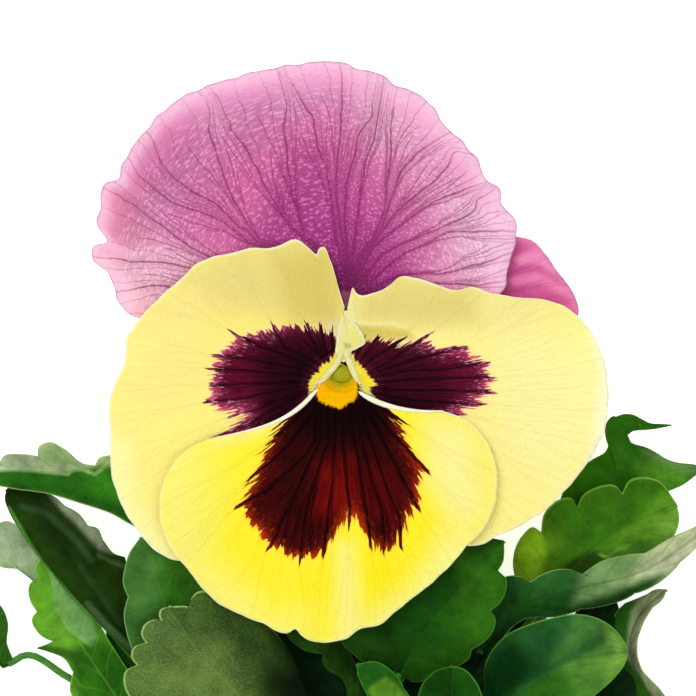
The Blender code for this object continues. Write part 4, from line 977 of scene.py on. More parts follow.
PETAL_LOOKS = {
    "petal_upper_left": PetalLook(UPPER_VEINS, "#E68ABC", "#F4C0DA", 3.0, (
        Patch("#E9A6CB", ((90, 70), (520, 50), (540, 300), (470, 290), (440, 170), (330, 110), (190, 150),
            (110, 310), (80, 300)), 6.0, 0.9),
        Patch("#E06EAA", ((185, 250), (215, 155), (325, 112), (385, 165), (410, 280), (340, 320)), 6.0, 0.85),
        Patch("#FAA6D0", ((395, 95), (425, 115), (470, 190), (480, 240), (455, 250), (425, 200), (395, 140)),
            3.0, 0.85),
        Patch("#CE74A6", ((130, 120), (200, 112), (218, 190), (150, 205), (122, 190)), 3.5, 0.8),
        Patch("#CA6EA4", ((222, 95), (272, 95), (290, 150), (240, 160)), 3.0, 0.55),
        Patch("#C04898", ((240, 270), (290, 190), (345, 170), (400, 210), (430, 290), (345, 330)), 5.0, 0.8),
        Patch("#AC3686", ((296, 140), (324, 150), (332, 200), (326, 262), (240, 262), (262, 214)), 3.0, 0.6),
        Patch("#A23280", ((296, 280), (322, 232), (345, 222), (376, 240), (412, 300), (346, 330)), 3.6, 0.85),
        Patch("#64104E", ((322, 292), (335, 266), (348, 262), (364, 272), (392, 305), (347, 330)), 2.2, 0.9),
        # Painted light: this corner is painted lighter to offset the shadow that the side petal casts on it
        Patch("#FBA8CC", ((420, 296), (426, 270), (450, 258), (480, 258), (514, 280), (514, 304), (420, 304)),
            2.0, 0.9),
        Patch("#E88CB8", ((339, 292), (352, 292), (350, 306), (343, 306)), 0.35, 0.8),
        Patch("#FFE6DE", ((336, 304), (366, 304), (360, 380), (335, 380)), 0.45, 0.95),
        Patch("#F8C8D2", ((84, 238), (140, 262), (200, 290), (130, 330), (80, 300)), 4.0, 0.9),
        Patch("#F6B8D4", ((362, 92), (402, 96), (412, 140), (372, 150)), 2.2, 0.65),
        Patch("#FCC2D8", ((112, 258), (150, 240), (196, 250), (210, 272), (150, 300), (120, 290)), 2.4, 0.85),
        Patch("#D67E9E", ((98, 186), (140, 182), (150, 240), (100, 250)), 2.4, 0.75),
        Patch("#FFCCE4", ((450, 200), (515, 200), (520, 290), (466, 280)), 3.6, 0.9),
        Patch("#F2B4D4", ((400, 90), (480, 130), (500, 200), (470, 190), (410, 130)), 3.5, 0.7),
    ), frill=0.16),
    # The rear petal's ground and rim are painted darker than the front petal's, as painted shade behind the
    # bloom
    "petal_upper_right": PetalLook(REAR_VEINS, "#D466A0", "#E48CB8", 1.4, (
        Patch("#B8458A", ((500, 300), (510, 240), (522, 240), (520, 300)), 2.0, 0.7),
        Patch("#DA74AF", ((520, 250), (545, 255), (562, 275), (530, 285)), 1.6, 0.6),
        Patch("#C4538F", ((505, 292), (578, 292), (580, 310), (505, 302)), 1.2, 0.6),
        Stroke("#F096BE", ((520, 260), (536, 257), (554, 268)), 1.2, 0.7),
        Stroke("#EE90BA", ((514, 281), (540, 277), (568, 294)), 1.0, 0.55),
        Stroke("#BC4A84", ((516, 270), (540, 268), (560, 282)), 0.8, 0.45),
    )),
    "petal_side_left": PetalLook(LEFT_VEINS, "#F8E87C", "#FDFAD4", 0.5, (
        # The first three patches are painted shade along the top, where the petal lies over the mauve petals
        Patch("#F0DA84", ((140, 320), (190, 280), (250, 245), (240, 300), (190, 330)), 3.0, 0.8),
        Patch("#E3D27C", ((190, 280), (240, 250), (300, 235), (345, 245), (350, 345), (300, 322), (235, 312)),
            3.6, 0.95),
        Patch("#D4C060", ((275, 255), (330, 250), (342, 300), (338, 330), (290, 322)), 2.6, 0.8),
        Patch("#F9E990", ((110, 330), (190, 300), (215, 360), (200, 470), (150, 540), (105, 470)), 5.0, 0.7),
        Patch("#FBF07A", ((150, 420), (215, 400), (230, 450), (200, 500), (150, 480)), 5.0, 0.6),
        Patch("#FBF5A8", ((100, 430), (128, 440), (136, 500), (170, 545), (176, 570), (130, 560), (100, 500)),
            2.0, 0.8),
        Patch("#DDD29A", ((326, 322), (346, 318), (350, 345), (345, 366), (333, 352)), 0.8, 0.9),
        Patch("#FBE32A", ((329, 358), (342, 352), (330, 384), (313, 392), (304, 386), (311, 370)), 0.5, 0.95),
    ), blotch=LEFT_BLOTCH, stain="#2A0310", stain_layers=(
        Patch("#560A24", ((205, 330), (262, 325), (256, 360), (252, 440), (200, 450)), 2.6, 0.85),
        Patch("#44061F", ((262, 322), (330, 325), (330, 342), (262, 345)), 1.6, 0.6),
        Patch("#741A3C", ((215, 392), (250, 396), (262, 412), (236, 436), (205, 440)), 1.6, 0.6),
        Patch("#18020B", ((290, 352), (325, 352), (310, 372), (305, 400), (285, 405)), 2.2, 0.8),
    )),
    "petal_side_right": PetalLook(RIGHT_VEINS, "#FAEE8E", "#FDFAD4", 0.5, (
        # The first two patches are painted shade along the top, where the petal lies over the mauve petals
        Patch("#EFE28C", ((350, 285), (400, 265), (470, 280), (560, 300), (520, 340), (420, 325), (350, 335)),
            3.0, 0.8),
        Patch("#DDCC76", ((356, 296), (400, 278), (470, 288), (480, 322), (410, 326), (356, 322)), 2.4, 0.85),
        # Painted shade in the crease below the fold
        Patch("#CFBD4C", ((354, 325), (404, 330), (415, 338), (384, 341), (360, 346), (354, 340)), 0.7, 0.85),
        Patch("#FBF6B4", ((500, 330), (600, 350), (612, 420), (560, 500), (500, 470)), 6.0, 0.55),
        Patch("#FCF9D2", ((590, 320), (612, 330), (614, 420), (590, 460), (597, 420), (600, 370)), 1.6, 0.9),
        Patch("#FAEC8C", ((470, 420), (560, 470), (520, 540), (480, 530)), 4.0, 0.6),
        Patch("#E6E09C", ((338, 300), (353, 300), (364, 345), (350, 352), (340, 352)), 0.6, 0.8),
        Patch("#FBE32A", ((350, 354), (362, 362), (380, 382), (370, 392), (356, 384), (343, 360)), 0.4, 0.95),
        Stroke("#F1EBC4", ((352, 352), (360, 348), (373, 343)), 0.35, 0.9),
        # A painted highlight along the crest of the fold
        Stroke("#EFE6A6", ((353, 321), (366, 324), (380, 324), (392, 323), (404, 328)), 0.28, 0.7),
    ), blotch=RIGHT_BLOTCH, stain="#380618", stain_layers=(
        Patch("#5E0E2C", ((412, 335), (470, 335), (500, 370), (500, 400), (455, 420), (448, 370)), 2.6, 0.85),
        Patch("#18020A", ((378, 386), (420, 398), (430, 415), (380, 415)), 2.0, 0.8),
    ), folds=((((350, 320), (366, 323), (380, 324), (392, 323), (406, 328)), 0.26, 0.7),)),
    "petal_lower": PetalLook(LOWER_VEINS, "#FBED38", "#FDF8B8", 0.45, (
        Patch("#FAEF80", ((150, 430), (204, 430), (210, 560), (300, 610), (300, 650), (140, 600)), 6.0, 0.85),
        Patch("#FBEF86", ((430, 405), (500, 430), (505, 520), (455, 560), (430, 480)), 4.5, 0.85),
        Patch("#FAF2A2", ((430, 425), (468, 430), (474, 500), (450, 520), (432, 470)), 3.0, 0.6),
        Patch("#FBEE74", ((474, 425), (500, 440), (502, 500), (486, 510), (478, 470)), 2.4, 0.8),
        Patch("#FBF4A0", ((440, 540), (400, 590), (350, 640), (350, 650), (520, 560)), 3.5, 0.7),
        Patch("#FCEA14", ((238, 520), (290, 580), (335, 560), (340, 600), (270, 610), (225, 550)), 4.0, 0.8),
        Patch("#FCEA10", ((360, 545), (400, 555), (425, 500), (440, 520), (405, 590), (365, 600)), 4.0, 0.85),
        Patch("#FBF08C", ((338, 545), (352, 545), (360, 600), (362, 650), (335, 650)), 2.0, 0.8),
        Patch("#FBF29A", ((220, 430), (290, 415), (285, 425), (240, 440), (215, 445)), 1.6, 0.7),
    ), blotch=LOWER_BLOTCH, stain="#2E0303", stain_layers=(
        Patch("#100101", ((296, 395), (388, 395), (396, 428), (345, 440), (290, 436)), 2.6, 0.92),
        Patch("#6C0804", ((320, 466), (350, 458), (362, 500), (350, 520), (316, 515)), 2.2, 0.9),
        Patch("#400405", ((236, 510), (256, 470), (270, 440), (284, 445), (272, 500), (300, 530), (330, 535),
            (330, 560), (270, 560)), 1.8, 0.8),
        Patch("#560504", ((368, 466), (392, 470), (396, 520), (372, 520)), 1.6, 0.8),
        Patch("#4E060A", ((395, 420), (425, 455), (422, 500), (400, 550), (380, 550), (396, 500), (406, 470)),
            1.8, 0.8),
    ), eye=EYE),
}


def dress(grid: np.ndarray, look: PetalLook, to_rim: np.ndarray) -> dict[str, np.ndarray]:
    """The marks that a petal's material reads.

    Args:
        grid: The petal's middle surface.
        look: What it wears.
        to_rim: How far each point is from the rim, in millimetres.

    Returns:
        A vector for each point, by name.
    """
    pixels = to_picture(grid)
    ground = np.broadcast_to(rgb(look.ground), grid.shape)
    paint = painted(ground, pixels, look.layers)
    stain = np.broadcast_to(rgb(look.stain), grid.shape)
    pale = (1.0 - smoothstep(0.0, look.rim_width, to_rim))[..., None] * 0.85
    return {
        "ray": look.veins.lay(pixels),
        "reach": np.stack([outside_by(pixels, look.blotch), outside_by(pixels, look.eye), to_rim], -1),
        "paint": paint * (1 - pale) + rgb(look.rim) * pale,
        "stain": painted(stain, pixels, look.stain_layers),
    }


@dataclass(frozen=True)
class PetalSkin:
    """Living petal: thin wet cells under a dull skin of tiny cones, which looks like velvet, never glossy."""

    name: str
    vein: str
    vein_strength: float
    vein_width: float
    fork_from: float
    fork_slope: float
    crinkle: float
    fringe: str = NO_COLOUR
    beside_blotch: str = NO_COLOUR
    black: str = NO_COLOUR
    strand: float = 2.0
    spike: float = 2.6
    fringe_width: float = 2.6
    black_strength: float = 0.7
    fleck: float = 0.6
    fleck_colour: str = NO_COLOUR
    eye: str = NO_COLOUR
    eye_inner: str = NO_COLOUR
    halo: float = 0.0
    # A painted highlight on the cell tops: its strength and its colour
    painted_gleam: float = 0.0
    painted_gleam_colour: str = "#FFDCE6"
    hem_colour: str = "#B987A6"
    cell_fall: float = 0.3

    def vein_lines(self, g: Graph, number: Socket, width: Socket, reach: Socket) -> tuple[Socket, Socket]:
        """Main veins, and forks that meet the next vein's forks in a pointed arch.

        Args:
            g: The material's nodes.
            number: The number of the vein, with the share of the way to the next one.
            width: How wide the cell between two veins is, in millimetres.
            reach: How far the point is from where the veins start, in millimetres.

        Returns:
            The share of vein at each point, and its distance from the main vein in millimetres.
        """
        place = g.add("CombineXYZ", (number, g.add(Maths.TIMES, (reach, 0.16))))
        stray = g.add("TexNoise", {"Vector": place, "Scale": 2.2, "Detail": 2.0})
        warp = g.add("MapRange", (stray, 0.3, 0.7, -0.035, 0.035))
        x = g.add(Maths.PLUS, (number, warp))
        nearest = g.add(Maths.ROUND, (x,))
        off = g.add(Maths.MINUS, (x, nearest))
        d = g.add(Maths.SIZE, (off,))
        side = g.add(Maths.TIMES_PLUS, (g.add(Maths.SIGN, (off,)), 0.25, nearest))
        chance = g.add("TexWhiteNoise", {"W": side}, noise_dimensions="1D")
        start = g.add("MapRange", (chance, 0.0, 1.0, 0.65 * self.fork_from, 1.3 * self.fork_from))
        gone = g.add(Maths.MINUS, (reach, start))
        fork = g.add(Maths.TIMES, (g.add(Maths.MOST, (gone, 0.0)), self.fork_slope))
        d_fork = g.add(Maths.SIZE, (g.add(Maths.MINUS, (d, fork)),))
        later = g.add(Maths.MINUS, (gone, 0.42 * self.fork_from))
        twig = g.add(Maths.TIMES, (g.add(Maths.MOST, (later, 0.0)), 0.8 * self.fork_slope))
        d_twig = g.add(Maths.SIZE, (g.add(Maths.MINUS, (d_fork, twig)),))
        taper = g.add("MapRange", (reach, 4.0, 34.0, self.vein_width, 0.4 * self.vein_width))
        shares = []
        for distance, share in ((d, 1.0), (d_fork, 0.75), (d_twig, 0.6)):
            mm = g.add(Maths.TIMES, (distance, width))
            line = g.add(Maths.OVER, (mm, g.add(Maths.TIMES, (taper, share))))
            soft = g.add("MapRange", (line, 0.25, 1.0, share, 0.0), **EASED)
            shares.append(soft)
        begun = g.add("MapRange", (gone, 0.0, 1.0, 0.0, 1.0))
        begun_later = g.add("MapRange", (later, 0.0, 1.0, 0.0, 1.0))
        room = g.add("MapRange", (width, 0.9, 2.4, 0.1, 1.0))
        forks = g.add(Maths.TIMES, (g.add(Maths.TIMES, (shares[1], begun)), room))
        twigs = g.add(Maths.TIMES, (g.add(Maths.TIMES, (shares[2], begun_later)), room))
        most = g.add(Maths.MOST, (g.add(Maths.MOST, (forks, twigs)), shares[0]))
        roomy = g.add("MapRange", (width, 0.25, 1.1, 0.45, 1.0))
        most = g.add(Maths.TIMES, (most, roomy))
        return most, g.add(Maths.TIMES, (d, width))

    def build(self) -> bpy.types.Material:
        """Makes the material, and returns it."""
        g = Graph(self.name)
        number, width, reach = g.marks("ray")
        blotch, eye, rim = g.marks("reach")
        paint = g.add("Attribute", output="Color", attribute_name="paint")
        veins, off_vein = self.vein_lines(g, number, width, reach)
        crinkle, cells, swell = self.skin_cells(g, number, reach)
        # The blotch runs out along the veins in strands about 0.4 mm wide and 4 mm long
        place = g.add("CombineXYZ", (g.add(Maths.TIMES, (number, 7.0)), g.add(Maths.TIMES, (reach, 0.26))))
        strands = g.add("TexNoise", {"Vector": place, "Scale": 1.0, "Detail": 2.0, "Roughness": 0.55})
        colour, inner = self.celled(g, paint, cells, swell, rim)
        if self.halo > 0:
            beside = g.add("MapRange", (off_vein, 0.0, 1.3, self.halo, 0.0), **EASED)
            beside = g.add(Maths.TIMES, (beside, inner))
            colour = g.add("MixRGB", (beside, colour, hex_to_linear(self.vein)))
        fade = g.add("MapRange", (rim, 0.3, 5.0, 0.35, 1.0))
        shown = g.add(Maths.TIMES, (g.add(Maths.TIMES, (veins, fade)), self.vein_strength))
        colour = g.add("MixRGB", (shown, colour, hex_to_linear(self.vein)))
        relief = g.add(Maths.TIMES, (cells, g.add("MapRange", (crinkle, 0.3, 0.7, 0.3, 1.0))))
        if self.painted_gleam > 0:
            # The thin rim lets the light through, and shows as a greyish hem
            hem = g.add("MapRange", (rim, 0.08, 0.34, 0.5, 0.0), **EASED)
            colour = g.add("MixRGB", (hem, colour, hex_to_linear(self.hem_colour)))
        if self.fringe != NO_COLOUR:
            colour = self.blotched(g, colour, blotch, strands, crinkle, veins, off_vein, number, reach)
            colour = self.eyed(g, colour, eye, strands, reach)
        height = g.add(Maths.TIMES_PLUS, (veins, -0.7, relief))
        bump = g.add("Bump", {"Strength": 0.5 + self.crinkle, "Distance": 0.00014, "Height": height})
        shader = g.add("BsdfPrincipled", {
            "Base Color": colour, "Roughness": 0.62, "Normal": bump, "IOR": 1.4,
            "Specular IOR Level": 0.04, "Subsurface Weight": 0.12,
            "Subsurface Radius": (0.6, 0.4, 0.3), "Subsurface Scale": 0.0006,
        })
        return g.close(shader)

    def skin_cells(self, g: Graph, number: Socket, reach: Socket) -> tuple[Socket, Socket, Socket]:
        """The petal's tiny cells, in rows that follow the veins.

        Args:
            g: The material's nodes.
            number: The number of the vein.
            reach: Millimetres from where the veins start.

        Returns:
            The fine relief, the share of cell top at each point, and how strongly the cells swell there.
        """
        # Skin cells are 0.03 mm wide. They are drawn as creases about 0.5 mm apart, so that they show
        ribs = g.add("CombineXYZ", (g.add(Maths.TIMES, (number, 9.0)), g.add(Maths.TIMES, (reach, 3.6))))
        crinkle = g.add("TexNoise", {"Vector": ribs, "Scale": 1.0, "Detail": 2.0, "Distortion": 0.9})
        bent = g.add("VectorMath", (ribs, g.add(Maths.TIMES, (crinkle, 1.6))), operation="ADD")
        cells = g.add("TexVoronoi", {"Vector": bent, "Scale": 0.62}, output="Distance")
        cells = g.add("MapRange", (cells, 0.18, 0.62, 1.0, 0.0))
        # They swell and sink in patches of about 0.2 mm
        swell = g.add("TexNoise", {"Scale": 260.0, "Detail": 2.0})
        return crinkle, cells, g.add("MapRange", (swell, 0.35, 0.65, 0.45, 1.25))

    def celled(
        self, g: Graph, paint: Socket, cells: Socket, swell: Socket, rim: Socket
    ) -> tuple[Socket, Socket]:
        """Paints light and shade on the cells: lit tops and shaded creases, fading out at the smooth rim.

        Args:
            g: The material's nodes.
            paint: The painted colour.
            cells: The share of cell top.
            swell: How strongly the cells swell.
            rim: Millimetres from the rim.

        Returns:
            The colour, and the share to which a point is inside the rim.
        """
        mottle = g.add("TexNoise", {"Scale": 120.0, "Detail": 3.0})
        tone = g.add("MapRange", (mottle, 0.3, 0.7, 0.985, 1.015))
        colour = g.add("VectorMath", (paint, tone), operation="MULTIPLY")
        # Cell tops are painted lighter and creases darker, as painted light and shade
        most = self.crinkle * (self.cell_fall if self.painted_gleam else 1.0)
        spread = g.add("MapRange", (cells, 0.0, 1.0, -self.crinkle, most))
        light = g.add(Maths.TIMES_PLUS, (spread, swell, 1.0))
        inner = g.add("MapRange", (rim, 1.5, 6.0, 0.0, 1.0), **EASED)
        lit = g.add("VectorMath", (colour, light), operation="MULTIPLY")
        # A painted highlight on the cell tops
        if self.painted_gleam > 0:
            painted_gleam = g.add(Maths.TIMES, (g.add("MapRange", (cells, 0.4, 1.0, 0.0, self.painted_gleam)), swell))
            lit = g.add("MixRGB", (painted_gleam, lit, hex_to_linear(self.painted_gleam_colour)))
        return g.add("MixRGB", (inner, colour, lit)), inner

    def eyed(self, g: Graph, colour: Socket, eye: Socket, strands: Socket, reach: Socket) -> Socket:
        """Lays the yellow eye over the petal, greener in its middle and ragged at its edge.

        Args:
            g: The material's nodes.
            colour: The petal's colour so far.
            eye: How far the point is outside the eye, in millimetres.
            strands: Noise in long narrow strands.
            reach: Millimetres from where the veins start.

        Returns:
            The colour with the eye.
        """
        edge = g.add(Maths.PLUS, (eye, g.add("MapRange", (strands, 0.3, 0.7, -0.25, 0.25))))
        in_eye = g.add("MapRange", (edge, -0.12, 0.12, 1.0, 0.0), **EASED)
        to_middle = g.add("MapRange", (reach, 1.3, 3.0, 0.0, 1.0), **EASED)
        yolk = g.add("MixRGB", (to_middle, hex_to_linear(self.eye_inner), hex_to_linear(self.eye)))
        return g.add("MixRGB", (in_eye, colour, yolk))

    def blotched(
        self, g: Graph, colour: Socket, blotch: Socket, strands: Socket, crinkle: Socket, veins: Socket,
        off_vein: Socket, number: Socket, reach: Socket,
    ) -> Socket:
        """Lays the dark blotch over the petal, with a fringe of strands that follow the veins.

        Args:
            g: The material's nodes.
            colour: The petal's colour so far.
            blotch: How far the point is outside the blotch, in millimetres.
            strands: Noise in long narrow strands.
            crinkle: The fine relief.
            veins: The share of vein.
            off_vein: Millimetres from the main vein.
            number: The number of the vein.
            reach: Millimetres from where the veins start.

        Returns:
            The colour with the blotch.
        """
        nearest = g.add(Maths.ROUND, (number,))
        chance = g.add("TexWhiteNoise", {"W": nearest}, noise_dimensions="1D")
        longest = g.add("MapRange", (chance, 0.0, 1.0, 0.25 * self.spike, self.spike))
        near = g.add("MapRange", (off_vein, 0.0, 0.4, 1.0, 0.0))
        free = g.add("MapRange", (reach, 4.5, 9.0, 0.28, 1.0), **EASED)
        spike = g.add(Maths.TIMES, (g.add(Maths.TIMES, (near, longest)), free))
        ragged = g.add("MapRange", (strands, 0.32, 0.68, -self.strand, self.strand), clamp=False)
        ragged = g.add(Maths.TIMES, (ragged, free))
        edge = g.add(Maths.MINUS, (g.add(Maths.PLUS, (blotch, ragged)), spike))
        cover = g.add("MapRange", (edge, -0.1, 0.12, 1.0, 0.0), **EASED)
        # Flecks of paler petal show through the blotch's rim, about 0.3 by 1 mm
        place = g.add("CombineXYZ", (g.add(Maths.TIMES, (number, 11.0)), g.add(Maths.TIMES, (reach, 0.9))))
        flecks = g.add("TexNoise", {"Vector": place, "Scale": 1.0, "Detail": 2.0, "Roughness": 0.6})
        flecks = g.add("MapRange", (flecks, 0.53, 0.64, 0.0, self.fleck), **EASED)
        at_edge = g.add("MapRange", (edge, -2.4, -0.5, 0.0, 1.0), **EASED)
        at_edge = g.add(Maths.TIMES, (at_edge, g.add("MapRange", (reach, 9.0, 14.0, 0.0, 1.0))))
        flecks = g.add(Maths.TIMES, (flecks, at_edge))
        outer = g.add("MapRange", (edge, -self.fringe_width, 0.2, 0.0, 1.0), **EASED)
        outer = g.add(Maths.TIMES, (outer, g.add("MapRange", (strands, 0.38, 0.62, 1.0, 0.35))))
        outer = g.add(Maths.TIMES, (outer, g.add("MapRange", (reach, 9.0, 16.0, 0.12, 1.0))))
        stain = g.add("Attribute", output="Color", attribute_name="stain")
        dark = g.add("MixRGB", (outer, stain, hex_to_linear(self.fringe)))
        streak = g.add("MapRange", (strands, 0.32, 0.68, 1.6, 0.5))
        fine = g.add("MapRange", (crinkle, 0.4, 0.7, 0.9, 1.25))
        dark = g.add("VectorMath", (dark, g.add(Maths.TIMES, (streak, fine))), operation="MULTIPLY")
        black = g.add(Maths.TIMES, (veins, self.black_strength))
        dark = g.add("MixRGB", (black, dark, hex_to_linear(self.black)))
        dark = g.add("MixRGB", (flecks, dark, hex_to_linear(self.fleck_colour)))
        beside = g.add("MapRange", (edge, 0.05, 0.6, 0.55, 0.0), **EASED)
        beside = g.add(Maths.TIMES, (beside, free))
        colour = g.add("MixRGB", (beside, colour, hex_to_linear(self.beside_blotch)))
        return g.add("MixRGB", (cover, colour, dark))


@dataclass(frozen=True)
class LeafLook:
    """What one leaf wears: the colours of its two halves, of its rim and veins, and its painted areas."""

    left: str
    right: str
    rim: str
    vein: str
    layers: tuple = ()
    rim_width: float = 0.24
    laterals: float = 6.0
    lean: float = 2.2
    hairy: float = 0.0
    slot: Slot = Slot.MID


